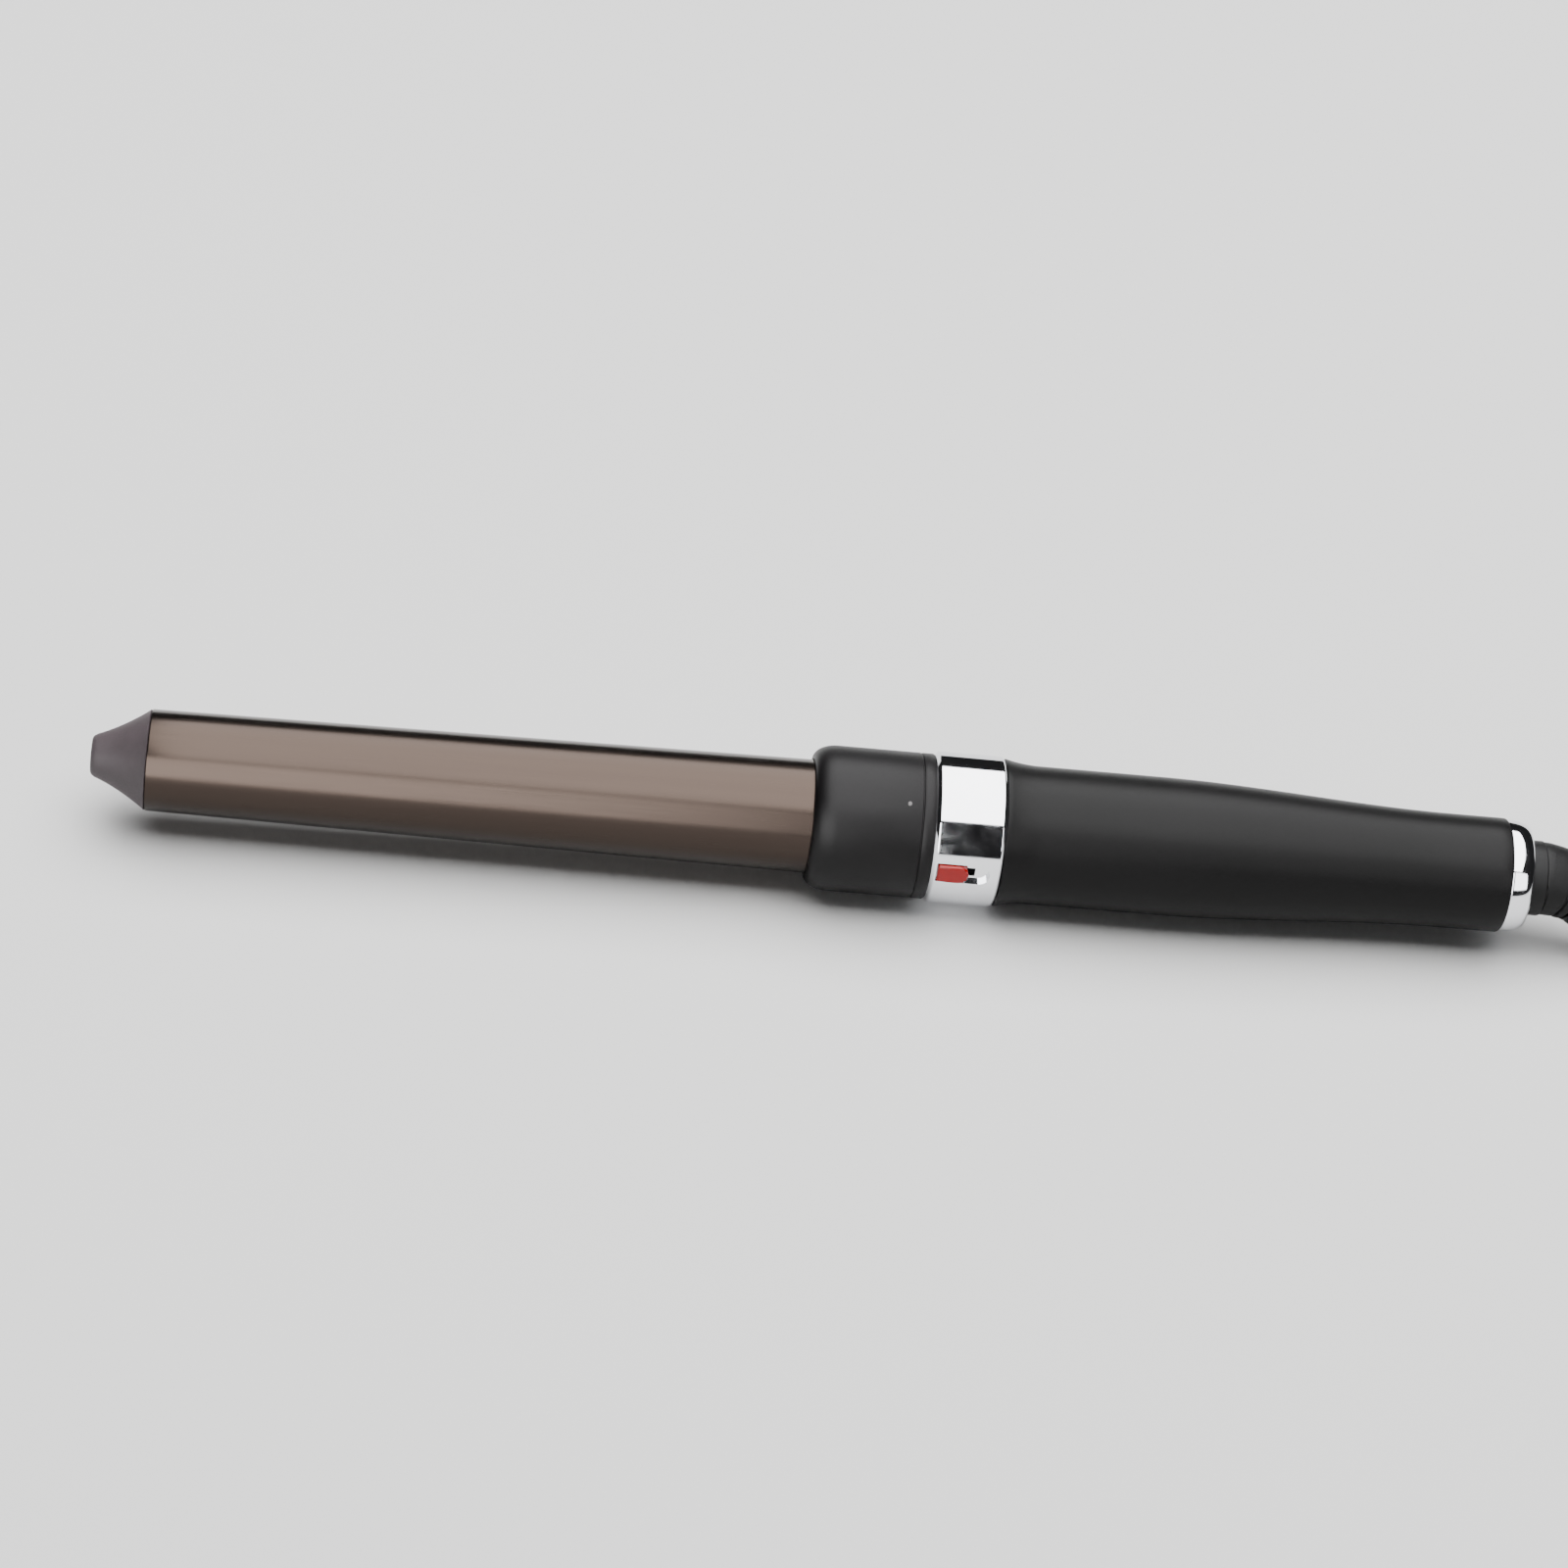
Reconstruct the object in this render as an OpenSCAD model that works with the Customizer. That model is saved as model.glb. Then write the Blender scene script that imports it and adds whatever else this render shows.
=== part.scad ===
// Clipless curling wand with a tapered barrel, a slide switch and a swivelling cord.
// Millimetres. +X runs along the wand from the tip to the cord, +Z is up.
// The origin is under the middle of the wand, on the surface that it lies on.

/* [Barrel and tip] */
// Length of the cool tip that shows in front of the barrel
tip_len = 13; // [9:0.5:18]
// Diameter of the tip's nose
nose_d = 9.2; // [7:0.2:12]
// Length of barrel that shows between tip and collar
barrel_len = 152.5; // [115:0.5:200]
// Barrel diameter at the tip
barrel_tip_d = 23.4; // [22.6:0.2:27]
// Barrel diameter at the collar
barrel_root_d = 26.4; // [24:0.1:32]
// Diameter of the straight bore inside the barrel
bore_d = 20.4; // [18:0.2:21]
// Length of barrel hidden inside the collar
barrel_tail = 18; // [15:0.5:19]

/* [Collar] */
// Collar length
collar_len = 28; // [26:0.5:40]
// Axial length of the collar's rounded front
collar_round = 5.5; // [3:0.5:8]
// Thickness of the collar's wall
collar_wall = 1.65; // [1.2:0.05:2.2]
// Thickness of the bush between barrel and collar
bush_wall = 1.95; // [1.8:0.05:3]

/* [Switch ring and slider] */
// Height that the plated ring stands out over the collar
ring_step = 0.7; // [0.4:0.1:2]
// Length of the plated ring
ring_len = 16.5; // [16:0.5:24]
// Length of the red slider
slider_len = 7.2; // [5:0.2:8]
// Width of the red slider
slider_w = 4.5; // [3.5:0.1:5.5]
// Travel of the slider
slider_travel = 4.6; // [3:0.1:5.5]
// Height that the slider stands proud of the ring
slider_proud = 0.8; // [0.2:0.1:1.4]
// Turn of the switch from the wand's own top
switch_turn = 53; // [40:1:70]
// Turn of the wand's own top toward -Y, as it lies
lying_turn = 33; // [0:1:60]

/* [Handle] */
// Length of the handle sleeve
handle_len = 119; // [105:1:150]
// Handle diameter behind the ring
neck_d = 32.2; // [32:0.2:36]
// Handle diameter at the cord end
handle_end_d = 26.8; // [26:0.2:32.2]
// Length of the concave sweep behind the ring
sweep_len = 8.5; // [5:0.5:14]
// Where the handle's taper begins, from its front
taper_from = 38; // [25:1:55]
// Where the handle's taper ends, from its front
taper_to = 106; // [90:1:108]
// Wall of the inner chassis
chassis_wall = 1.8; // [1.4:0.1:2.2]

/* [Cord swivel] */
// Length of the plated end ring
end_ring_len = 5.5; // [4.5:0.5:9]
// Length of hub that stands out of the end ring
hub_out = 4; // [2:0.5:8]
// Length of the swivel bearing
bearing_len = 8; // [6:0.5:10]

/* [Cord and plug] */
// Diameter of the cord
cord_d = 6.5; // [6:0.1:7]
// Length of the moulded plug body
plug_len = 36; // [30:1:44]
// Width of the plug body
plug_w = 34; // [32:1:36]
// Thickness of the plug body
plug_t = 14; // [12:0.5:16]
// Diameter of the plug's pins
pin_d = 4; // [3.8:0.1:4.8]
// Length that the pins stand out of the plug
pin_len = 19; // [18:0.5:20]
// Distance between the two pins
pin_gap = 19; // [17:0.5:19]

/* [Hidden] */
$fn = 96;

// Clearances
fit = 0.05;           // between pieces that locate each other, and the swivel's running fit
slide_gap = 0.3;      // round the slider, and between the wand and the hub
contact_gap = 0.25;   // between the contact strips and the slip rings

// Stations along the wand, measured from the tip
barrel_x = tip_len;
collar_x = barrel_x + barrel_len;
ring_x = collar_x + collar_len;
handle_x = ring_x + ring_len;
end_x = handle_x + handle_len;
rear_x = end_x + end_ring_len;
hub_x = rear_x + hub_out;
middle = hub_x / 2;

// Radii of the shells
bore_r = bore_d / 2;
root_r = barrel_root_d / 2;
collar_in = root_r + bush_wall + 2 * fit;
collar_r = collar_in + collar_wall;
ring_r = collar_r + ring_step;
axis_z = ring_r;
core_room = 0.15;
core_r = collar_in - core_room;
neck_r = neck_d / 2;
handle_end_r = handle_end_d / 2;
sleeve_wall = 1.75;
hand_core_r = min(neck_r - 2.1, core_r - 1.1);
rear_core_r = handle_end_r - sleeve_wall - fit;
handle_front_r = ring_r - 0.4;

// Tip
nose_edge = 0.7;
flare_bend = 0.35;
spigot_len = 9;
cap_wall = 1.6;
disc_t = 1;

// Heater
heater_gap = 4;
heater_x = barrel_x + 17;
heater_len = barrel_len - 42;
heater_w = 13;
heater_h = heater_gap - 2 * fit;
spreader_r = bore_r - fit;
sensor_r = 1.4;
sensor_z = 5.4;
sensor_x = heater_x + heater_len - 30;
sensor_len = 8;
spring_t = 0.5;
spring_y = 7.6;
spring_len = 60;
lead_y = 3;
lead_r = 0.7;
wire_sides = 8;
sensor_lead_r = 0.4;
fuse_r = 2;
fuse_x = collar_x + 8;
fuse_len = 11;

// Bush and screws between barrel and collar
bush_x = collar_x + 5;
bush_end = collar_x + barrel_tail + 2;
screw_x = collar_x + 12;
screw_r = 1.2;
screw_head_r = 2.2;
screw_head_t = 0.9;
screw_head_sink = 0.3;
screw_end_gap = 0.8;
lip_room = 0.2;
lip_edge = 0.4;
lip_len = 3.5;
groove_from_ring = 3;
groove_w = 0.6;
groove_deep = 0.35;
light_x = ring_x - 6.3;
light_r = 0.6;
light_head_r = 1.5;
light_head_t = 1.85;
light_head_in = 2;
light_sink = 0.1;

// Switch
recess_deep = 1.4;
floor_r = ring_r - recess_deep;
ring_in = core_r + 0.1;
ring_bevel = 0.9;
slot_x = ring_x + 1.2;
slot_len = slider_len + slider_travel + 2 * slide_gap;
slot_w = slider_w + 2 * slide_gap;
stem_x = 2.4;
stem_y = 1.5;
stem_at = slot_x + slide_gap + 1.5;
slit_x = stem_at - slide_gap;
slit_len = stem_x + slider_travel + 2 * slide_gap;
slit_w = stem_y + 2 * slide_gap;
stem_low = core_r - chassis_wall - 0.1;
switch_top = stem_low - 0.5;
switch_w = 6.8;
switch_h = 5.6;
switch_len = ring_len - 3;
switch_x = ring_x + 1.5;
wiper_deep = 3;

// Chassis
chassis_x = ring_x - 4;
chassis_step = handle_x + 4;
chassis_taper = handle_x + 6;
chassis_end = end_x - 3.2;
boss_r = 2.3;
boss_front_x = handle_x + 12;
boss_rear_x = end_x - 44;
boss_in = 3;
chassis_screw_r = 1.1;
chassis_head_r = 1.9;
chassis_head_t = 1.4;
chassis_screw_up = 4;
screw_end_room = 0.5;
head_in = 2.5;
head_rim = hand_core_r - chassis_wall - boss_in + chassis_head_r;
head_low = min(rear_core_r - chassis_wall - head_in, sqrt(pow(hand_core_r - 0.4, 2) - pow(head_rim, 2)));

// Circuit board and what is on it
board_x = handle_x + 8;
board_end = boss_rear_x - 7;
board_w = 12.4;
board_t = 1.6;
board_z = -4.8;
board_top = board_z + board_t;
rib_t = 1.6;
rib_in = 8;

// Swivel
housing_r = rear_core_r - chassis_wall - 0.1;
housing_x = end_x - 26;
housing_end = end_x + 2;
housing_plate = 2;
cavity_r = housing_r - 1.2;
hub_in_x = housing_end + 0.5;
shaft_room = 2.05;
hub_step = 2.35;
shaft_r = cavity_r - shaft_room;
hub_r = shaft_r + hub_step;
shaft_x = end_x - 20;
bearing_x = housing_end - bearing_len;
end_hole_r = hub_r + slide_gap;
end_ring_r = handle_end_r - 0.25;
end_ring_rear_r = handle_end_r - 2;
clip_t = 0.8;
clip_x = bearing_x - slide_gap - clip_t;
clip_in_r = shaft_r - 0.7;
clip_out_r = shaft_r + 1.6;
clip_open = 4;
slip_r = shaft_r + 0.6;
slip_w = 2.4;
slip_x = [shaft_x + 1.5, shaft_x + 5.5];
strip_t = 0.4;
strip_w = 2;
strip_z = slip_r + contact_gap;

// Boot: centre line and radii, measured from the hub's rear face
cord_r = cord_d / 2;
boot_end_z = cord_r + 1.05;
boot_drop = axis_z - boot_end_z;
boot_shape = [[0, 0, 0], [1, 0, 0], [4.7, -0.3, 0.045], [9, -1, 0.165], [12.7, -2.2, 0.361],
    [16.3, -3.7, 0.609], [18.9, -4.8, 0.752], [21.4, -5.9, 0.872], [25.4, -7.6, 1]];
boot_line = [for (p = boot_shape) [p[0], p[1], -boot_drop * p[2]]];
boot_start_r = hub_r - 0.3;
boot_end_r = 4.3;
boot_shares = [1, 1, 0.93, 0.786, 0.62, 0.405, 0.286, 0.167, 0];
boot_radii = [for (share_of = boot_shares) boot_end_r + (boot_start_r - boot_end_r) * share_of];
boot_sides = 24;

// Hank: two turns side by side, three layers high, lying on its tie
tie_t = 1;
tie_w = 12;
fold_x = middle + 67.25;
fold_in = 19.5;
run_len = 128;
layers = 3;
tie_x = fold_x + 33.5;
tail_z = 24.8;
tail_y = fold_in + cord_d;

// Cord: the stretch from the boot to the hank, then the one from the hank to the plug
cord_lead = [[25.25, -7.5, 4.4], [28.75, -9, 3.8], [32.25, -10.7, 3.4], [37.75, -13.6, 3.3],
    [42.75, -16.3, 3.3], [47.75, -19, 3.3], [52.75, -21.5, 3.5], [57.75, -23.7, 3.8],
    [62.75, -25.2, 4.1], [67.25, -26, 4.3]];
cord_line = [for (p = cord_lead) [middle + p[0], p[1], p[2]]];
tail_rise = [[127.5, 19.5, 17.3], [118.5, 19.5, 18.5], [109.5, 19.5, 21], [100.5, 19.5, 23.6],
    [91.5, 19.7, 24.8], [75, 21.5, 24.8], [55, 24.5, 24.8], [38, 26, 24.8], [20, 26, 24.8]];
tail_end = [[19.5, -13, 24.8], [39.5, -13, 25], [50.5, -13, 26.2], [61.5, -13, 27.4],
    [67.5, -13, 27.5]];
tail_line = concat(
    [for (p = tail_rise) [fold_x + p[0], p[1], p[2]]],
    [for (a = [90 : 15 : 270])
        [fold_x + fold_in * cos(a), tail_y - fold_in + fold_in * sin(a), tail_z]],
    [for (p = tail_end) [fold_x + p[0], p[1], p[2]]]);
cord_sides = 10;

hank_in_r = fold_in - cord_r;
hank_out_r = fold_in + 1.5 * cord_d;
hank_h = layers * cord_d;

// Plug
plug_x = fold_x + 67.5;
plug_y = -13;
plug_z = tie_t + hank_h + plug_t / 2;
plug_nose_r = cord_r + 0.9;
plug_neck_len = 10;
plug_neck_r = 6;
plug_shoulder = 14;
plug_cut = 5;
pin_sleeve_r = 1.75;
pin_sleeve_len = 10;
pin_core_r = 1.4;
pin_core_in = 3;
pin_dome = 1;

// Puts a piece in the lying wand: x from the tip, z toward the wand's own top
module in_wand() {
    translate([-middle, 0, axis_z])
        rotate([lying_turn, 0, 0])
            children();
}

// Turns +Z toward the switch, still about the wand's axis
module at_switch() {
    rotate([switch_turn, 0, 0])
        children();
}

// A round bar along X
module bar(from_x, to_x, r) {
    translate([from_x, 0, 0])
        rotate([0, 90, 0])
            cylinder(h = to_x - from_x, r = r);
}

// A round tube along X
module sleeve(from_x, to_x, outer, inner) {
    difference() {
        bar(from_x, to_x, outer);
        bar(from_x - 1, to_x + 1, inner);
    }
}

// A piece turned about X from its outline of [radius, x] points
module turned(outline) {
    rotate([0, 90, 0])
        rotate_extrude()
            polygon(outline);
}

// Vectors for a swept tube
function unit(v) = v / norm(v);
function heading(line, i) =
    unit(line[min(i + 1, len(line) - 1)] - line[max(i - 1, 0)]);
function side_of(v) = unit(cross([0, 0, 1], v));
function ring_point(line, i, r, a) =
    let (ahead = heading(line, i), side = side_of(ahead), up = cross(ahead, side))
    line[i] + r * (cos(a) * side + sin(a) * up);

// One closed tube along a line, with a radius for each of its points
module swept(line, radii, sides) {
    count = len(line);
    points = [for (i = [0 : count - 1]) for (k = [0 : sides - 1])
        ring_point(line, i, radii[i], 360 * k / sides)];
    walls = [for (i = [0 : count - 2]) for (k = [0 : sides - 1])
        [i * sides + k, (i + 1) * sides + k,
            (i + 1) * sides + (k + 1) % sides, i * sides + (k + 1) % sides]];
    first = [for (k = [0 : sides - 1]) k];
    last = [for (k = [sides - 1 : -1 : 0]) (count - 1) * sides + k];
    polyhedron(points = points, faces = concat(walls, [first, last]), convexity = 6);
}

// An insulated wire through a list of points
module wire(points, r) {
    swept(points, [for (p = points) r], wire_sides);
}

// ---- Tip and barrel ----

// Radius of the tip's concave flare at a share t of its length
function flare(t) = nose_d / 2
    + (barrel_tip_d / 2 - nose_d / 2) * ((1 - flare_bend) * t + flare_bend * t * t);

module tip_cap() {
    steps = 10;
    outer = [for (i = [1 : steps]) [flare(i / steps), tip_len * i / steps]];
    color([0.33, 0.3, 0.32])
        in_wand()
            turned(concat(
                [[0, 0], [nose_d / 2 - nose_edge, 0], [flare(0.07), nose_edge]],
                [for (p = outer) if (p.y > nose_edge) p],
                [[bore_r - fit, tip_len], [bore_r - fit, tip_len + spigot_len],
                    [bore_r - cap_wall, tip_len + spigot_len], [bore_r - cap_wall, tip_len],
                    [nose_d / 2 - cap_wall, tip_len / 3], [0, tip_len / 3]]));
}

module tip_disc() {
    color([0.8, 0.76, 0.66])
        in_wand()
            bar(barrel_x + spigot_len + fit, barrel_x + spigot_len + disc_t, bore_r - fit);
}

module screw_places() {
    for (a = [60 : 120 : 300])
        rotate([a, 0, 0])
            translate([screw_x, 0, 0])
                children();
}

module barrel_tube() {
    color([0.52, 0.45, 0.42])
        in_wand()
            difference() {
                turned([[bore_r, barrel_x], [barrel_tip_d / 2, barrel_x], [root_r, collar_x],
                    [root_r, collar_x + barrel_tail], [bore_r, collar_x + barrel_tail]]);
                screw_places()
                    cylinder(h = root_r + 1, r = screw_r + fit, $fn = 32);
            }
}

// ---- Heater ----

// Half-round aluminium bar that carries heat from the heater to the barrel
module spreader(side) {
    in_wand()
        difference() {
            bar(heater_x, heater_x + heater_len, spreader_r);
            translate([heater_x - 1, -bore_r, side > 0 ? heater_gap / 2 - bore_d : -heater_gap / 2])
                cube([heater_len + 2, bore_d, bore_d]);
            if (side > 0)
                translate([0, 0, sensor_z])
                    bar(sensor_x, heater_x + heater_len + 1, sensor_r + 2 * fit);
        }
}

module spreader_upper() {
    color([0.78, 0.79, 0.8])
        spreader(1);
}

module spreader_lower() {
    color([0.78, 0.79, 0.8])
        spreader(-1);
}

module heater_element() {
    color([0.93, 0.92, 0.88])
        in_wand()
            translate([heater_x, -heater_w / 2, -heater_h / 2])
                cube([heater_len, heater_w, heater_h]);
}

module spreader_springs() {
    color([0.6, 0.62, 0.65])
        in_wand()
            for (side = [-1, 1])
                translate([heater_x + heater_len / 2 - spring_len / 2,
                    side * spring_y - spring_t / 2, -heater_h / 2])
                    cube([spring_len, spring_t, heater_h]);
}

module thermistor() {
    color([0.75, 0.45, 0.2])
        in_wand()
            translate([0, 0, sensor_z])
                bar(sensor_x + 1, sensor_x + 1 + sensor_len, sensor_r);
}

module thermal_fuse() {
    color([0.85, 0.85, 0.82])
        in_wand()
            translate([0, lead_y, 0])
                bar(fuse_x, fuse_x + fuse_len, fuse_r);
}

module heater_leads() {
    start = heater_x + heater_len;
    drop_x = handle_x + 2;
    low = board_top + lead_r;
    color([0.9, 0.88, 0.8])
        in_wand() {
            wire([[start, -lead_y, 0], [drop_x, -lead_y, 0],
                [board_x + 1, -lead_y, low], [board_x + 4, -lead_y, low]], lead_r);
            translate([0, lead_y, 0])
                bar(start, fuse_x, lead_r);
            wire([[fuse_x + fuse_len + lead_r, lead_y, 0], [drop_x, lead_y, 0],
                [board_x + 1, lead_y, low], [board_x + 4, lead_y, low]], lead_r);
        }
}

module sensor_leads() {
    start = sensor_x + 1 + sensor_len + sensor_lead_r;
    low = board_top + sensor_lead_r;
    color([0.95, 0.95, 0.95])
        in_wand()
            for (side = [-1, 1])
                wire([[start, side * 0.6, sensor_z], [collar_x + barrel_tail + 2, side * 0.6, sensor_z],
                    [board_x + 1, side, low], [board_x + 4, side, low]], sensor_lead_r);
}

// ---- Collar ----

module barrel_bush() {
    color([0.2, 0.2, 0.21])
        in_wand()
            difference() {
                sleeve(bush_x, bush_end, collar_in - fit, root_r + fit);
                screw_places() {
                    cylinder(h = collar_r, r = screw_r + fit, $fn = 32);
                    translate([0, 0, collar_in - fit - screw_head_t - screw_head_sink])
                        cylinder(h = collar_r, r = screw_head_r + fit, $fn = 32);
                }
            }
}

module barrel_screws() {
    head_z = collar_in - fit - screw_head_t - screw_head_sink;
    color([0.7, 0.7, 0.72])
        in_wand()
            screw_places() {
                translate([0, 0, bore_r + screw_end_gap])
                    cylinder(h = head_z - bore_r - screw_end_gap, r = screw_r, $fn = 32);
                translate([0, 0, head_z])
                    cylinder(h = screw_head_t, r = screw_head_r, $fn = 32);
            }
}

module collar() {
    lip_r = root_r + lip_room;
    front = [for (a = [0 : 15 : 90])
        [lip_r + lip_edge + (collar_r - lip_r - lip_edge) * sin(a),
            collar_x + collar_round * (1 - cos(a))]];
    groove_x = ring_x - groove_from_ring;
    color([0.17, 0.165, 0.17])
        in_wand()
            difference() {
                turned(concat([[lip_r, collar_x]], front,
                    [[collar_r, groove_x - groove_w / 2], [collar_r - groove_deep, groove_x],
                        [collar_r, groove_x + groove_w / 2], [collar_r, ring_x],
                        [collar_in, ring_x], [collar_in, collar_x + lip_len],
                        [lip_r, collar_x + lip_len]]));
                translate([light_x, 0, 0])
                    cylinder(h = collar_r + 1, r = light_r + fit, $fn = 32);
            }
}

module pilot_light() {
    color([0.75, 0.2, 0.2])
        in_wand()
            translate([light_x, 0, 0]) {
                translate([0, 0, collar_in - light_head_in])
                    cylinder(h = light_head_t, r = light_head_r, $fn = 32);
                translate([0, 0, collar_in - light_head_in / 2])
                    cylinder(h = collar_wall + light_head_in / 2 - light_sink, r = light_r, $fn = 32);
            }
}

// ---- Switch ring and slider ----

// Flat in front and round behind, drawn from [0, 0] along +X
module slot_shape(length, width) {
    translate([0, -width / 2])
        square([length - width / 2, width]);
    translate([length - width / 2, 0])
        circle(d = width, $fn = 48);
}

module switch_ring() {
    color([0.85, 0.86, 0.88])
        in_wand()
            difference() {
                turned([[ring_in, ring_x], [ring_r - ring_bevel, ring_x], [ring_r, ring_x + ring_bevel],
                    [ring_r, handle_x - ring_bevel], [ring_r - ring_bevel, handle_x],
                    [ring_in, handle_x]]);
                at_switch() {
                    translate([slot_x, 0, floor_r])
                        linear_extrude(height = ring_r)
                            slot_shape(slot_len, slot_w);
                    translate([slit_x, -slit_w / 2, 0])
                        cube([slit_len, slit_w, ring_r]);
                }
            }
}

module switch_slider() {
    low = floor_r + slide_gap;
    color([0.8, 0.05, 0.05])
        in_wand()
            at_switch() {
                intersection() {
                    translate([slot_x + slide_gap, 0, low])
                        linear_extrude(height = ring_r)
                            slot_shape(slider_len, slider_w);
                    bar(ring_x, handle_x, ring_r + slider_proud);
                }
                translate([stem_at, -stem_y / 2, stem_low])
                    cube([stem_x, stem_y, low - stem_low]);
            }
}

module switch_wiper() {
    color([0.9, 0.9, 0.85])
        in_wand()
            at_switch()
                translate([stem_at, -stem_y / 2, switch_top - wiper_deep])
                    cube([stem_x, stem_y, stem_low - switch_top + wiper_deep]);
}

module switch_body() {
    color([0.12, 0.12, 0.13])
        in_wand()
            at_switch()
                difference() {
                    translate([switch_x, -switch_w / 2, switch_top - switch_h])
                        cube([switch_len, switch_w, switch_h]);
                    translate([slit_x, -slit_w / 2, switch_top - wiper_deep - slide_gap])
                        cube([slit_len, slit_w, switch_h]);
                }
}

module switch_leads() {
    from_r = switch_top - switch_h / 2;
    out_x = switch_x + switch_len;
    low = board_top + lead_r;
    color([0.1, 0.3, 0.6])
        in_wand()
            for (side = [-1, 1]) {
                turn = switch_turn + 9 * side;
                start = [out_x, -from_r * sin(turn), from_r * cos(turn)];
                finish_y = side > 0 ? -5.2 : -1.2;
                wire([start, start + [2.5, 0, 0], [board_x + 3, finish_y, 0],
                    [board_x + 8, finish_y, low], [board_x + 11, finish_y, low]], lead_r);
            }
}

// ---- Chassis ----

// Radius of the chassis behind the ring, which tapers to the cord end
function core_at(x) = hand_core_r
    + (rear_core_r - hand_core_r) * (x - chassis_taper) / (chassis_end - chassis_taper);

module chassis_solid(inset) {
    turned([[0, chassis_x], [core_r - inset, chassis_x], [core_r - inset, chassis_step],
        [hand_core_r - inset, chassis_taper], [rear_core_r - inset, chassis_end],
        [0, chassis_end]]);
}

// The four chassis screws: children get the place across the wand
module boss_places() {
    for (x = [boss_front_x, boss_rear_x])
        for (side = [-1, 1])
            translate([x, side * (core_at(x) - chassis_wall - boss_in), 0])
                children();
}

module chassis_half(side) {
    in_wand()
        intersection() {
            difference() {
                union() {
                    difference() {
                        chassis_solid(0);
                        chassis_solid(chassis_wall);
                        bar(chassis_x - 1, chassis_step, core_r - chassis_wall);
                        bar(chassis_end - 1, chassis_end + 1, rear_core_r - chassis_wall);
                    }
                    intersection() {
                        chassis_solid(0);
                        union() {
                            boss_places()
                                translate([0, 0, -core_r])
                                    cylinder(h = 2 * core_r, r = boss_r, $fn = 48);
                            if (side < 0)
                                for (x = [board_x + rib_in, board_end - rib_in])
                                    translate([x, -board_w / 2, -core_r])
                                        cube([rib_t, board_w, core_r + board_z - fit]);
                        }
                    }
                }
                boss_places() {
                    translate([0, 0, -head_low])
                        cylinder(h = head_low + chassis_screw_up + screw_end_room,
                            r = chassis_screw_r + fit, $fn = 32);
                    translate([0, 0, -2 * core_r])
                        cylinder(h = 2 * core_r - head_low + chassis_head_t,
                            r = chassis_head_r + fit, $fn = 32);
                }
                at_switch()
                    translate([slit_x, -slit_w / 2, 0])
                        cube([slit_len, slit_w, core_r + 1]);
            }
            translate([chassis_x - 1, -core_r - 1, side > 0 ? 0 : -core_r - 1])
                cube([chassis_end - chassis_x + 2, 2 * core_r + 2, core_r + 1]);
        }
}

module chassis_upper() {
    color([0.25, 0.25, 0.27])
        chassis_half(1);
}

module chassis_lower() {
    color([0.22, 0.22, 0.24])
        chassis_half(-1);
}

module chassis_screws() {
    color([0.7, 0.7, 0.72])
        in_wand()
            boss_places() {
                translate([0, 0, -head_low])
                    cylinder(h = chassis_head_t, r = chassis_head_r, $fn = 32);
                translate([0, 0, -head_low + chassis_head_t])
                    cylinder(h = head_low - chassis_head_t + chassis_screw_up,
                        r = chassis_screw_r, $fn = 32);
            }
}

// ---- Circuit board ----

module circuit_board() {
    color([0.1, 0.4, 0.2])
        in_wand()
            translate([board_x, -board_w / 2, board_z])
                cube([board_end - board_x, board_w, board_t]);
}

module on_board(x, y, size) {
    in_wand()
        translate([board_x + x, y - size.y / 2, board_top])
            cube(size);
}

module board_capacitor() {
    color([0.85, 0.7, 0.15])
        on_board(40, 0, [12, 6, 9]);
}

module board_triac() {
    color([0.12, 0.12, 0.12])
        on_board(14, 1.2, [10, 9, 4.4]);
}

module board_chip() {
    color([0.15, 0.15, 0.15])
        on_board(29, 0, [6, 5, 1.5]);
}

module board_resistor() {
    r = 1.7;
    color([0.75, 0.65, 0.5])
        in_wand()
            translate([0, 4.2, board_top + r])
                bar(board_x + 27, board_x + 35, r);
}

module supply_leads() {
    low = board_top + lead_r + fit;
    color([0.4, 0.25, 0.15])
        in_wand()
            for (side = [-1, 1])
                wire([[board_end - 4, side * lead_y, low], [board_end - 1, side * lead_y, low],
                    [housing_x - 4, side * 2, side * (strip_z - 1)],
                    [housing_x - 1, 0, side * (strip_z - 1)]], lead_r);
}

// ---- Handle ----

// Radius of the handle at a distance from its front
function smooth(t) = t * t * (3 - 2 * t);
function share(x, from, to) = min(max((x - from) / (to - from), 0), 1);
function sweep_in(x) = pow(1 - share(x, 0, sweep_len), 2);
function handle_r(x) = neck_r
    + (handle_front_r - neck_r) * sweep_in(x)
    + (handle_end_r - neck_r) * smooth(share(x, taper_from, taper_to));

module handle_sleeve() {
    front_steps = [for (i = [0 : 5]) sweep_len * i / 5];
    taper_steps = [for (i = [0 : 12]) taper_from + (taper_to - taper_from) * i / 12];
    outer = [for (x = concat(front_steps, taper_steps, [handle_len])) [handle_r(x), handle_x + x]];
    color([0.13, 0.13, 0.14])
        in_wand()
            turned(concat(outer,
                [[rear_core_r + fit, end_x], [rear_core_r + fit, chassis_end],
                    [hand_core_r + fit, chassis_taper], [core_r + fit, chassis_step + fit],
                    [core_r + fit, handle_x]]));
}

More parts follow.
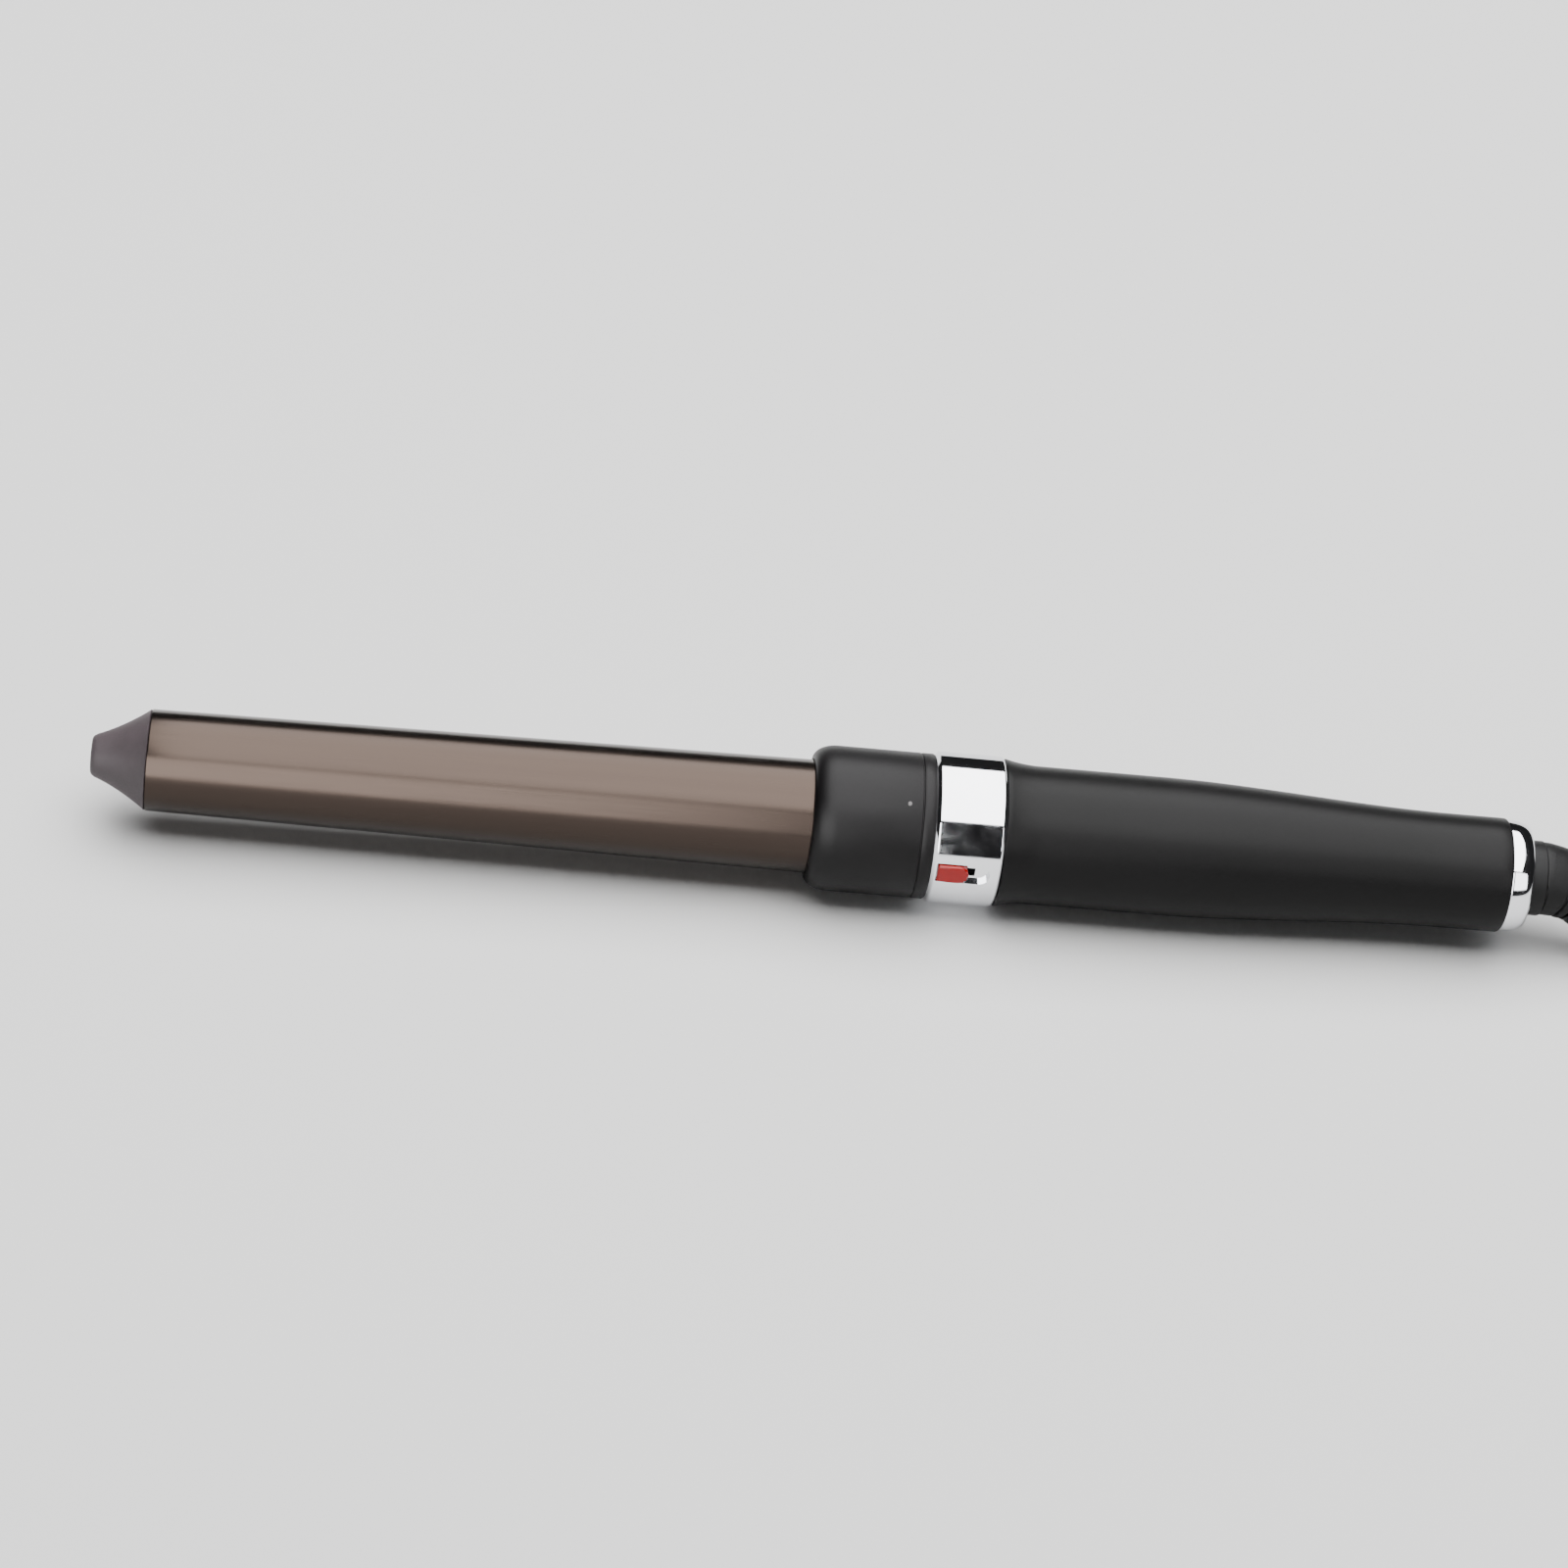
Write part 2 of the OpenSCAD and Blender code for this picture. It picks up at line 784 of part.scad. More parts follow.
module end_ring() {
    rise = [for (a = [0 : 15 : 75])
        [end_ring_rear_r + (end_ring_r - end_ring_rear_r) * cos(a),
            end_x + 0.6 + (end_ring_len - 0.6) * sin(a)]];
    color([0.85, 0.86, 0.88])
        in_wand()
            turned(concat([[rear_core_r, end_x - 3], [rear_core_r, end_x],
                [end_ring_r, end_x]], rise,
                [[end_ring_rear_r, rear_x], [end_hole_r, rear_x],
                    [end_hole_r, housing_end + 0.2], [housing_r + fit, housing_end + 0.2],
                    [housing_r + fit, end_x - 3]]));
}

// ---- Swivel ----

module swivel_housing() {
    color([0.3, 0.3, 0.32])
        in_wand()
            difference() {
                turned([[0, housing_x], [housing_r, housing_x], [housing_r, housing_end],
                    [shaft_r + fit, housing_end], [shaft_r + fit, bearing_x],
                    [cavity_r, bearing_x], [cavity_r, housing_x + housing_plate],
                    [0, housing_x + housing_plate]]);
                for (side = [-1, 1])
                    strip_box(side, fit);
            }
}

// Space of a contact strip: it reaches the nearer or the farther slip ring
module strip_box(side, gap) {
    reach = side > 0 ? slip_x[1] : slip_x[0];
    low = strip_z - gap;
    translate([housing_x - 1, -strip_w / 2 - gap, side > 0 ? low : -strip_z - strip_t - gap])
        cube([reach + slip_w - housing_x + 1, strip_w + 2 * gap, strip_t + 2 * gap]);
}

module contact_strips() {
    color([0.8, 0.6, 0.25])
        in_wand()
            for (side = [-1, 1])
                strip_box(side, 0);
}

module swivel_hub() {
    color([0.11, 0.11, 0.12])
        in_wand()
            turned([[0, shaft_x], [shaft_r, shaft_x], [shaft_r, clip_x - fit],
                [clip_in_r - fit, clip_x - fit], [clip_in_r - fit, clip_x + clip_t + fit],
                [shaft_r, clip_x + clip_t + fit], [shaft_r, hub_in_x], [hub_r, hub_in_x],
                [hub_r, hub_x], [0, hub_x]]);
}

module slip_rings() {
    color([0.8, 0.6, 0.25])
        in_wand()
            for (x = slip_x)
                sleeve(x, x + slip_w, slip_r, shaft_r + 0.01);
}

module swivel_circlip() {
    color([0.65, 0.66, 0.68])
        in_wand()
            difference() {
                sleeve(clip_x, clip_x + clip_t, clip_out_r, clip_in_r);
                translate([clip_x - 1, -clip_open / 2, -2 * clip_out_r])
                    cube([clip_t + 2, clip_open, 2 * clip_out_r]);
            }
}

module boot() {
    color([0.11, 0.11, 0.12])
        translate([hub_x - middle, 0, axis_z])
            swept(boot_line, boot_radii, boot_sides);
}

// ---- Cord ----

module cord_tube() {
    color([0.1, 0.1, 0.1])
        swept(cord_line, [for (p = cord_line) cord_r], cord_sides);
}

module cord_tail() {
    color([0.1, 0.1, 0.1])
        swept(tail_line, [for (p = tail_line) cord_r], cord_sides);
}

// A flat racetrack between two round ends
module racetrack(r, height) {
    translate([fold_x, 0, 0])
        cylinder(h = height, r = r);
    translate([fold_x + run_len, 0, 0])
        cylinder(h = height, r = r);
    translate([fold_x, -r, 0])
        cube([run_len, 2 * r, height]);
}

module cord_hank() {
    color([0.1, 0.1, 0.1])
        translate([0, 0, tie_t])
            difference() {
                racetrack(hank_out_r, hank_h);
                translate([0, 0, -1])
                    racetrack(hank_in_r, hank_h + 2);
            }
}

module cord_tie() {
    half = hank_out_r + tie_t;
    color([0.16, 0.16, 0.17])
        difference() {
            translate([tie_x, -half, 0])
                cube([tie_w, 2 * half, hank_h + 2 * tie_t]);
            translate([tie_x - 1, -hank_out_r, tie_t])
                cube([tie_w + 2, 2 * hank_out_r, hank_h]);
        }
}

// ---- Plug ----

module at_pins() {
    for (side = [-1, 1])
        translate([plug_x + plug_len, plug_y + side * pin_gap / 2, plug_z])
            rotate([0, 90, 0])
                children();
}

module plug_body() {
    shoulder_x = plug_x + plug_neck_len;
    color([0.1, 0.1, 0.1])
        difference() {
            union() {
                translate([plug_x, plug_y, plug_z])
                    rotate([0, 90, 0])
                        cylinder(h = plug_neck_len + 1, r1 = plug_nose_r, r2 = plug_neck_r);
                translate([0, 0, plug_z - plug_t / 2])
                    linear_extrude(height = plug_t)
                        polygon([[shoulder_x, plug_y - plug_cut - 2],
                            [shoulder_x + plug_shoulder, plug_y - plug_w / 2],
                            [plug_x + plug_len, plug_y - plug_w / 2],
                            [plug_x + plug_len, plug_y + plug_w / 2],
                            [shoulder_x + plug_shoulder, plug_y + plug_w / 2],
                            [shoulder_x, plug_y + plug_cut + 2]]);
                at_pins()
                    translate([0, 0, -1])
                        cylinder(h = pin_sleeve_len + 1, r = pin_sleeve_r);
            }
            at_pins()
                translate([0, 0, -pin_core_in])
                    cylinder(h = pin_core_in + pin_sleeve_len + 1, r = pin_core_r);
        }
}

module plug_pins() {
    straight = pin_len - pin_dome - pin_sleeve_len;
    color([0.8, 0.8, 0.82])
        at_pins() {
            translate([0, 0, -pin_core_in])
                cylinder(h = pin_core_in + pin_sleeve_len + 1, r = pin_core_r);
            translate([0, 0, pin_sleeve_len])
                rotate_extrude()
                    polygon(concat([[0, 0], [pin_d / 2, 0]],
                        [for (a = [0 : 15 : 75])
                            [pin_d / 2 - pin_dome * (1 - cos(a)), straight + pin_dome * sin(a)]],
                        [[pin_d / 2 - pin_dome, straight + pin_dome], [0, straight + pin_dome]]));
        }
}

tip_cap();
tip_disc();
barrel_tube();
spreader_upper();
spreader_lower();
heater_element();
spreader_springs();
thermistor();
thermal_fuse();
heater_leads();
sensor_leads();
barrel_bush();
barrel_screws();
collar();
pilot_light();
switch_ring();
switch_slider();
switch_wiper();
switch_body();
switch_leads();
chassis_upper();
chassis_lower();
chassis_screws();
circuit_board();
board_capacitor();
board_triac();
board_chip();
board_resistor();
supply_leads();
handle_sleeve();
end_ring();
swivel_housing();
contact_strips();
swivel_hub();
slip_rings();
swivel_circlip();
boot();
cord_tube();
cord_hank();
cord_tail();
cord_tie();
plug_body();
plug_pins();
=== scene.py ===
# %% [markdown]
# # A clipless curling wand
# The tool is a tapered metal barrel on a black handle, with a chrome switch ring between them and a
# cord that leaves through a swivel. Its sizes come from the CAD frame, so the first cell loads that
# frame and keeps its box. Everything is in metres: +X runs from the cool tip to the cord, +Z is up.

# %% Load the frame
import math

import bmesh
import bpy
from mathutils import Matrix, Vector


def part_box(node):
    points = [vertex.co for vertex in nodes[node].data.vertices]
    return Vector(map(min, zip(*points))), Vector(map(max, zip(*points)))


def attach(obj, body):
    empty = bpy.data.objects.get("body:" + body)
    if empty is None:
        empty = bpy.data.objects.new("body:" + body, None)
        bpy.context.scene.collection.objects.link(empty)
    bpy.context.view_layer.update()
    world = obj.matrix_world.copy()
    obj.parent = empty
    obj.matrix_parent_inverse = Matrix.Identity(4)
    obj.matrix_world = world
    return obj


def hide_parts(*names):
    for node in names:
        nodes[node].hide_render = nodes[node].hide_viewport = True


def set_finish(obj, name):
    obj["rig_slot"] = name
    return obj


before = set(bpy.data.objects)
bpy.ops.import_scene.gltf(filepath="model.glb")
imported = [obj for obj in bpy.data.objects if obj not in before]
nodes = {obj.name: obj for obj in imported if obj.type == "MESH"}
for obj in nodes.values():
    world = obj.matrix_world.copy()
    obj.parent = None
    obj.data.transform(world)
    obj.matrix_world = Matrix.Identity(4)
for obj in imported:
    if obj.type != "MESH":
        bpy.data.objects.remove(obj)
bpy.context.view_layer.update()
MM = 0.001
print("frame loaded:", len(nodes), "nodes")

# %% [markdown]
# ## Measures taken from the frame
# A turned piece only needs to know where it starts and ends along the axis and how wide it is. Both
# can be read off a node's box, so a change in the CAD reaches the pieces made here. The wand lies
# turned about its own axis, so its top and its switch are given as turns from straight up.

# %% Measures
AXIS_Z = (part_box("switch_ring")[0].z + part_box("switch_ring")[1].z) / 2


def span(node):
    """Where a node starts and ends along the wand."""
    low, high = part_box(node)
    return low.x, high.x


def widest(node):
    """The radius of a node that is turned about the wand's axis."""
    low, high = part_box(node)
    return (high.z - low.z) / 2


TIP_X = span("tip_cap")[0]
BARREL_X, BARREL_END_X = span("barrel_tube")
COLLAR_X, RING_X = span("collar")
HANDLE_X, HANDLE_END_X = span("handle_sleeve")
REAR_X = span("end_ring")[1]
HUB_X = span("swivel_hub")[1]
TIP_LEN = BARREL_X - TIP_X
BARREL_TIP_R = widest("tip_cap")
BARREL_ROOT_R = widest("barrel_tube")
COLLAR_R = widest("collar")
RING_R = widest("switch_ring")
HUB_R = widest("swivel_hub")
LYING_TURN = 33
SWITCH_FROM_TOP = 53
TOP_TURN = math.radians(LYING_TURN)
SWITCH_TURN = math.radians(LYING_TURN + SWITCH_FROM_TOP)
print("wand from", round(TIP_X, 4), "to", round(HUB_X, 4), "axis at", round(AXIS_Z, 4))

# %% [markdown]
# ## Camera
# The view is a long lens from the front, 40 degrees above the surface and a little to the left of
# square, with a roll that lets the wand run down to the right. A camera's matrix is its right, up and
# backward directions and its place, so those are worked out first and put in as columns.

# %% Camera
VIEW_ELEVATION = math.radians(40)
VIEW_SIDE = math.radians(6)
VIEW_ROLL = math.radians(8.77)
VIEW_DISTANCE = 1.136
VIEW_FOCUS = Vector((-0.00945, 0, AXIS_Z))
VIEW_RISE = 0.00693

ahead = Vector((
    math.sin(VIEW_SIDE) * math.cos(VIEW_ELEVATION),
    math.cos(VIEW_SIDE) * math.cos(VIEW_ELEVATION),
    -math.sin(VIEW_ELEVATION),
))
level_right = ahead.cross(Vector((0, 0, 1))).normalized()
right = Matrix.Rotation(-VIEW_ROLL, 3, ahead) @ level_right
up = right.cross(ahead)
place = VIEW_FOCUS - ahead * VIEW_DISTANCE + up * VIEW_RISE

camera = bpy.data.objects.new("camera", bpy.data.cameras.new("camera"))
camera.data.sensor_width = 36
camera.data.lens = 112.5
camera.data.clip_start = 0.05
camera.data.clip_end = 20
camera.matrix_world = Matrix((
    (right.x, up.x, -ahead.x, place.x),
    (right.y, up.y, -ahead.y, place.y),
    (right.z, up.z, -ahead.z, place.z),
    (0, 0, 0, 1),
))
bpy.context.scene.collection.objects.link(camera)
bpy.context.scene.camera = camera
print("camera at", [round(c, 3) for c in place])

# %% [markdown]
# ## Floor and light
# A plain pale floor and soft light show the shape without telling a story. Polished metal shows its
# surroundings rather than itself, so some panels are only there to be mirrored: a long one overhead
# for the upper half of the metal, a low one in front that the barrel sees and the ring doesn't, and
# a small one for the end ring. They are hidden from diffuse light, and a separate soft lamp, which
# is hidden from mirrors, lights the floor. The dark world between the panels makes the black band.

# %% Floor
FLOOR_HALF = 4
PAPER_COLOUR = (0.82, 0.82, 0.815, 1)
PAPER_ROUGHNESS = 0.9

bm = bmesh.new()
bmesh.ops.create_grid(bm, x_segments=1, y_segments=1, size=FLOOR_HALF)
floor_mesh = bpy.data.meshes.new("floor")
bm.to_mesh(floor_mesh)
bm.free()
floor = bpy.data.objects.new("floor", floor_mesh)
bpy.context.scene.collection.objects.link(floor)
paper = bpy.data.materials.new("studio_paper")
paper.use_nodes = True
paper_shader = paper.node_tree.nodes["Principled BSDF"]
paper_shader.inputs["Base Color"].default_value = PAPER_COLOUR
paper_shader.inputs["Roughness"].default_value = PAPER_ROUGHNESS
floor_mesh.materials.append(paper)
print("floor is", 2 * FLOOR_HALF, "m square")

# %% Lights
DARK_ROOM = (0.02, 0.02, 0.021, 1)
TOWARD_WAND = (0, 0.905, -0.425)


def panel(name, place, facing_way, size, radiance, mirrored=True):
    """A rectangular light that faces a way, seen by mirrors only or by diffuse surfaces only."""
    lamp = bpy.data.lights.new(name, "AREA")
    lamp.shape = "RECTANGLE"
    lamp.size, lamp.size_y = size
    lamp.energy = radiance * math.pi * size[0] * size[1]
    holder = bpy.data.objects.new(name, lamp)
    turn = Vector(facing_way).to_track_quat("-Z", "Y").to_matrix().to_4x4()
    holder.matrix_world = Matrix.Translation(place) @ turn
    holder.visible_camera = False
    holder.visible_diffuse = not mirrored
    holder.visible_glossy = mirrored
    bpy.context.scene.collection.objects.link(holder)
    print("lit", name)


panel("overhead_panel", (0.15, 0.45, 1.3), (0, 0, -1), (1.6, 3), 8)
panel("front_panel", (-0.7, -1, 0.465), TOWARD_WAND, (1.5, 0.94), 9)
panel("end_panel", (0.8, -0.95, 0.57), TOWARD_WAND, (0.8, 0.74), 5)
panel("floor_lamp", (0.1, 0.3, 1.7), (0, -0.1, -1), (2.4, 2.4), 5.5, mirrored=False)
world = bpy.data.worlds.new("studio")
world.use_nodes = True
backdrop = world.node_tree.nodes["Background"]
backdrop.inputs["Color"].default_value = DARK_ROOM
backdrop.inputs["Strength"].default_value = 1
bpy.context.scene.world = world

# %% [markdown]
# ## Small helpers for shapes
# Most of this tool is turned on a lathe or moulded round, so the main helper spins an outline about
# the wand's axis. Corners are rounded in the outline itself: that gives every rim a highlight and
# costs nothing later.

# %% Helpers for shapes
ROUND_STEPS = 144
SHARP = 1.2  # radians between two faces


def finish_piece(bm, name, body, smooth_angle=40, merge=1e-6):
    """Turn a bmesh into an object that rides on a body, with its place in its mesh."""
    bmesh.ops.remove_doubles(bm, verts=bm.verts, dist=merge)
    bmesh.ops.recalc_face_normals(bm, faces=bm.faces)
    mesh = bpy.data.meshes.new(name)
    bm.to_mesh(mesh)
    bm.free()
    mesh.shade_smooth()
    mesh.set_sharp_from_angle(angle=math.radians(smooth_angle))
    piece = bpy.data.objects.new(name, mesh)
    bpy.context.scene.collection.objects.link(piece)
    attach(piece, body)
    print("made", name, "with", len(mesh.polygons), "faces")
    return piece


def soften(bm, edges, width, segments):
    """Round edges over a width, so that they catch the light."""
    bmesh.ops.bevel(bm, geom=edges, offset=width, segments=segments, profile=0.5,
                    affect="EDGES", material=-1)


def sharp_edges(bm):
    """The edges where two faces meet at a steep angle."""
    return [e for e in bm.edges if e.calc_face_angle(0) > SHARP]


def prism(bm, outline, low, high):
    """A flat outline of (x, y) points, extruded from z low to z high."""
    base = bm.faces.new([bm.verts.new((x, y, low)) for x, y in outline])
    lifted = bmesh.ops.extrude_face_region(bm, geom=[base])["geom"]
    bmesh.ops.translate(bm, vec=(0, 0, high - low),
                        verts=[g for g in lifted if isinstance(g, bmesh.types.BMVert)])


def rounded(points, radii, steps=5):
    """An outline with its corners rounded: each point is (x, r), and has its own radius."""
    outline = []
    count = len(points)
    for i, (point, radius) in enumerate(zip(points, radii)):
        here = Vector(point)
        if not radius:
            outline.append(here)
            continue
        back = (Vector(points[i - 1]) - here).normalized()
        on = (Vector(points[(i + 1) % count]) - here).normalized()
        half = back.angle(on) / 2
        reach = radius / math.tan(half)
        start, stop = here + back * reach, here + on * reach
        centre = here + (back + on).normalized() * (radius / math.sin(half))
        for k in range(steps + 1):
            arm = (start - centre).normalized().slerp((stop - centre).normalized(), k / steps)
            outline.append(centre + arm * radius)
    return outline


def turned(name, body, outline, closed=True, smooth_angle=40):
    """Spin an outline of (x, r) points about the wand's axis."""
    bm = bmesh.new()
    verts = [bm.verts.new((x, 0, AXIS_Z + r)) for x, r in outline]
    edges = [bm.edges.new(pair) for pair in zip(verts, verts[1:])]
    if closed:
        edges.append(bm.edges.new((verts[-1], verts[0])))
    bmesh.ops.spin(
        bm, geom=verts + edges, cent=(0, 0, AXIS_Z), axis=(1, 0, 0),
        angle=2 * math.pi, steps=ROUND_STEPS, use_merge=True,
    )
    return finish_piece(bm, name, body, smooth_angle)


def smooth_step(t):
    """From 0 to 1 with a level start and a level end."""
    t = min(max(t, 0), 1)
    return t * t * (3 - 2 * t)


# %% [markdown]
# ## Helpers for materials
# Colours are written as the hex values a designer would pick, and Blender works in linear light, so
# one function converts them. One more adds a node with its settings and links in a single call.

# %% Helpers for materials


def paint(hex_value):
    """An sRGB hex colour as linear red, green, blue and alpha."""
    parts = [int(hex_value[i:i + 2], 16) / 255 for i in (1, 3, 5)]
    linear = [c / 12.92 if c <= 0.04045 else ((c + 0.055) / 1.055) ** 2.4 for c in parts]
    return (*linear, 1)


def add(tree, kind, values=None, links=None, **settings):
    """Add a node: values fill its inputs, links join another node's output to an input."""
    node = tree.nodes.new(kind)
    for key, value in settings.items():
        setattr(node, key, value)
    for key, value in (values or {}).items():
        node.inputs[key].default_value = value
    for key, (source, output) in (links or {}).items():
        tree.links.new(source.outputs[output], node.inputs[key])
    return node


def new_material(name, **values):
    """A material with one Principled shader whose plain values are set on its own sockets."""
    material = bpy.data.materials.new(name)
    material.use_nodes = True
    tree = material.node_tree
    shader = tree.nodes["Principled BSDF"]
    for key, value in values.items():
        shader.inputs[key.replace("_", " ")].default_value = value
    return material, tree, shader


def ramp(tree, source, output, stops):
    """A colour ramp on a source: stops are (place, colour)."""
    node = add(tree, "ShaderNodeValToRGB", links={"Fac": (source, output)})
    band = node.color_ramp
    while len(band.elements) < len(stops):
        band.elements.new(0.5)
    for element, (where, colour) in zip(band.elements, stops):
        element.position = where
        element.color = colour
    return node


def mottle(tree, shader, colours, rough, grain_mm, patch_mm, bump, stretch=(1, 1, 1)):
    """Colour and gloss that wander over patch_mm, and a bumpy grain of grain_mm."""
    place = add(tree, "ShaderNodeTexCoord")
    grid = add(tree, "ShaderNodeMapping", {"Scale": stretch}, {"Vector": (place, "Object")})
    patch = add(tree, "ShaderNodeTexNoise",
                {"Scale": 1 / (patch_mm * MM), "Detail": 4, "Roughness": 0.6},
                {"Vector": (grid, "Vector")})
    grain = add(tree, "ShaderNodeTexNoise",
                {"Scale": 1 / (grain_mm * MM), "Detail": 3, "Roughness": 0.65},
                {"Vector": (grid, "Vector")})
    tone = ramp(tree, patch, "Fac", [(0.3, paint(colours[0])), (0.7, paint(colours[1]))])
    tree.links.new(tone.outputs["Color"], shader.inputs["Base Color"])
    gloss = add(tree, "ShaderNodeMapRange",
                {"From Min": 0.3, "From Max": 0.7, "To Min": rough[0], "To Max": rough[1]},
                {"Value": (grain, "Fac")})
    tree.links.new(gloss.outputs["Result"], shader.inputs["Roughness"])
    relief = add(tree, "ShaderNodeBump", {"Strength": 1, "Distance": bump * MM},
                 {"Height": (grain, "Fac")})
    tree.links.new(relief.outputs["Normal"], shader.inputs["Normal"])


def cover(piece, material):
    """Give a new piece one material."""
    piece.data.materials.clear()
    piece.data.materials.append(material)


# %% [markdown]
# ## Cord
# A mains lead is stiff enough to keep wide bends, and this one is about 2.5 m long. It leaves the
# boot, comes down to the surface and runs to a hank: six turns wound two abreast and three high,
# with its last stretch laid over the top to the plug. The open stretches follow listed points, the
# same ones as in the CAD. The turns follow a loop: each turn is a racetrack, and on its way back the
# cord steps across or up into the next place. The steps are staggered, so that each turn has moved
# out of the way before the next one comes.

# %% Cord route
CORD_D = 6.5 * MM
LEAD = [
    (191.8, -6.4, 5.3), (194.5, -7.5, 4.4), (198, -9, 3.8), (201.5, -10.7, 3.4), (207, -13.6, 3.3),
    (212, -16.3, 3.3), (217, -19, 3.3), (222, -21.5, 3.5), (227, -23.7, 3.8), (232, -25.2, 4.1),
]
FOLD_X = 236.5  # the middle of the hank's near fold, in millimetres like the rest of the route
FOLD_IN = 19.5
RUN = 128
RUN_STEPS, STEPPING_RUN_STEPS = 8, 20
STEP_LEN = 36
LAYER = [4.25, 10.75, 17.25, 24.8]
WIDE, NARROW = 26, FOLD_IN
TAIL_RISE = [(127.5, 19.5, 17.3), (118.5, 19.5, 18.5), (109.5, 19.5, 21), (100.5, 19.5, 23.6),
             (91.5, 19.7, 24.8), (75, 21.5, 24.8), (55, 24.5, 24.8), (38, 26, 24.8), (20, 26, 24.8)]
TAIL_END = [(19.5, -13, 24.8), (39.5, -13, 25), (50.5, -13, 26.2), (61.5, -13, 27.4),
            (67.5, -13, 27.5), (72, -13, 27.5)]
PLACES = [(WIDE, 0), (NARROW, 0), (NARROW, 1), (WIDE, 1), (WIDE, 2), (NARROW, 2)]


def bend(y, r, z, start, steps=12):
    """Half a circle that starts at a heading, round the fold at the left or the right end."""
    x = FOLD_X + (RUN if start < 0 else 0)
    turns = [start + math.pi * i / steps for i in range(steps)]
    return [(x + r * math.cos(a), y + r * math.sin(a), z) for a in turns]


def hank_route():
    """The six turns and the tail, in millimetres, from the start of the first near run."""
    points = []
    turns = len(PLACES)
    for k, (r, layer) in enumerate(PLACES):
        z = LAYER[layer]
        points += [(FOLD_X + RUN * i / RUN_STEPS, -r, z) for i in range(RUN_STEPS)]
        points += bend(0, r, z, -math.pi / 2)
        if k == turns - 1:
            break
        next_r, next_z = PLACES[k + 1][0], LAYER[PLACES[k + 1][1]]
        start = STEP_LEN / 2 * (turns - 1 - k)
        for i in range(STEPPING_RUN_STEPS):
            along = RUN * i / STEPPING_RUN_STEPS
            t = smooth_step((along - start) / STEP_LEN)
            points.append((FOLD_X + RUN - along, r + (next_r - r) * t, z + (next_z - z) * t))
        points += bend(0, next_r, next_z, math.pi / 2)
    points += [(FOLD_X + x, y, z) for x, y, z in TAIL_RISE]
    points += bend(WIDE - FOLD_IN, FOLD_IN, LAYER[-1], math.pi / 2)
    points.append((FOLD_X, WIDE - 2 * FOLD_IN, LAYER[-1]))
    return points + [(FOLD_X + x, y, z) for x, y, z in TAIL_END]


def through(points, steps=4):
    """A smooth line through points, as a Catmull-Rom curve with steps pieces between each two."""
    line = []
    ends = [points[0]] + points + [points[-1]]
    for i in range(1, len(ends) - 2):
        a, b, c, d = ends[i - 1], ends[i], ends[i + 1], ends[i + 2]
        for k in range(steps):
            t = k / steps
            line.append(0.5 * (2 * b + (c - a) * t + (2 * a - 5 * b + 4 * c - d) * t * t
                               + (3 * b - a - 3 * c + d) * t ** 3))
    return line + [points[-1]]


route = through([Vector(p) * MM for p in LEAD + hank_route()])

# %% Cord curve
curve = bpy.data.curves.new("cord", "CURVE")
curve.dimensions = "3D"
# A curve's box grows by its points' radius, so the thickness is on the points and the depth is 1.
curve.bevel_depth = 1
curve.bevel_resolution = 4
curve.use_fill_caps = True
spline = curve.splines.new("POLY")
spline.points.add(len(route) - 1)
for point, where in zip(spline.points, route):
    point.co = (*where, 1)
    point.radius = CORD_D / 2
spline.use_smooth = True
cord = bpy.data.objects.new("cord", curve)
bpy.context.scene.collection.objects.link(cord)
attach(cord, "cord_set")
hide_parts("cord_tube", "cord_hank", "cord_tail")
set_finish(cord, "cord_rubber")

# %% [markdown]
# ## Cool tip
# The tip is moulded in a matte heat-resistant plastic. Its side is a hollow curve, steeper toward
# the barrel, and its nose is flat with a soft edge. A spin of one outline gives all of it.

# %% Cool tip
NOSE_R = 4.6 * MM
FLARE_BEND = 0.35
SPIGOT = 4 * MM


def flare(t):
    """The tip's radius at a share of its length from the nose."""
    return NOSE_R + (BARREL_TIP_R - NOSE_R) * ((1 - FLARE_BEND) * t + FLARE_BEND * t * t)


nose_edge = 0.7 * MM
side = [(TIP_X + TIP_LEN * t, flare(t)) for t in [i / 24 for i in range(2, 24)]]
nose = [
    (TIP_X, 0), (TIP_X, NOSE_R * 0.45), (TIP_X, NOSE_R - nose_edge),
    (TIP_X + 0.2 * nose_edge, NOSE_R - 0.42 * nose_edge),
    (TIP_X + 0.55 * nose_edge, NOSE_R - 0.05 * nose_edge),
]
seam = 0.25 * MM
spigot_r = BARREL_TIP_R - 1.6 * MM
tip_end = [
    (BARREL_X - seam, BARREL_TIP_R - 0.1 * MM), (BARREL_X - 0.3 * seam, BARREL_TIP_R - 0.25 * MM),
    (BARREL_X, BARREL_TIP_R - 0.7 * MM), (BARREL_X, spigot_r),
    (BARREL_X + SPIGOT, spigot_r), (BARREL_X + SPIGOT, 0),
]
cool_tip = turned("cool_tip", "wand", nose + side + tip_end, closed=False)
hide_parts("tip_cap")
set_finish(cool_tip, "tip_plastic")

# %% [markdown]
# ## Barrel
# An aluminium tube, tapered outside and coated in a satin bronze tone. It ends in a small chamfer at
# the tip, which is what draws the line between the two pieces.

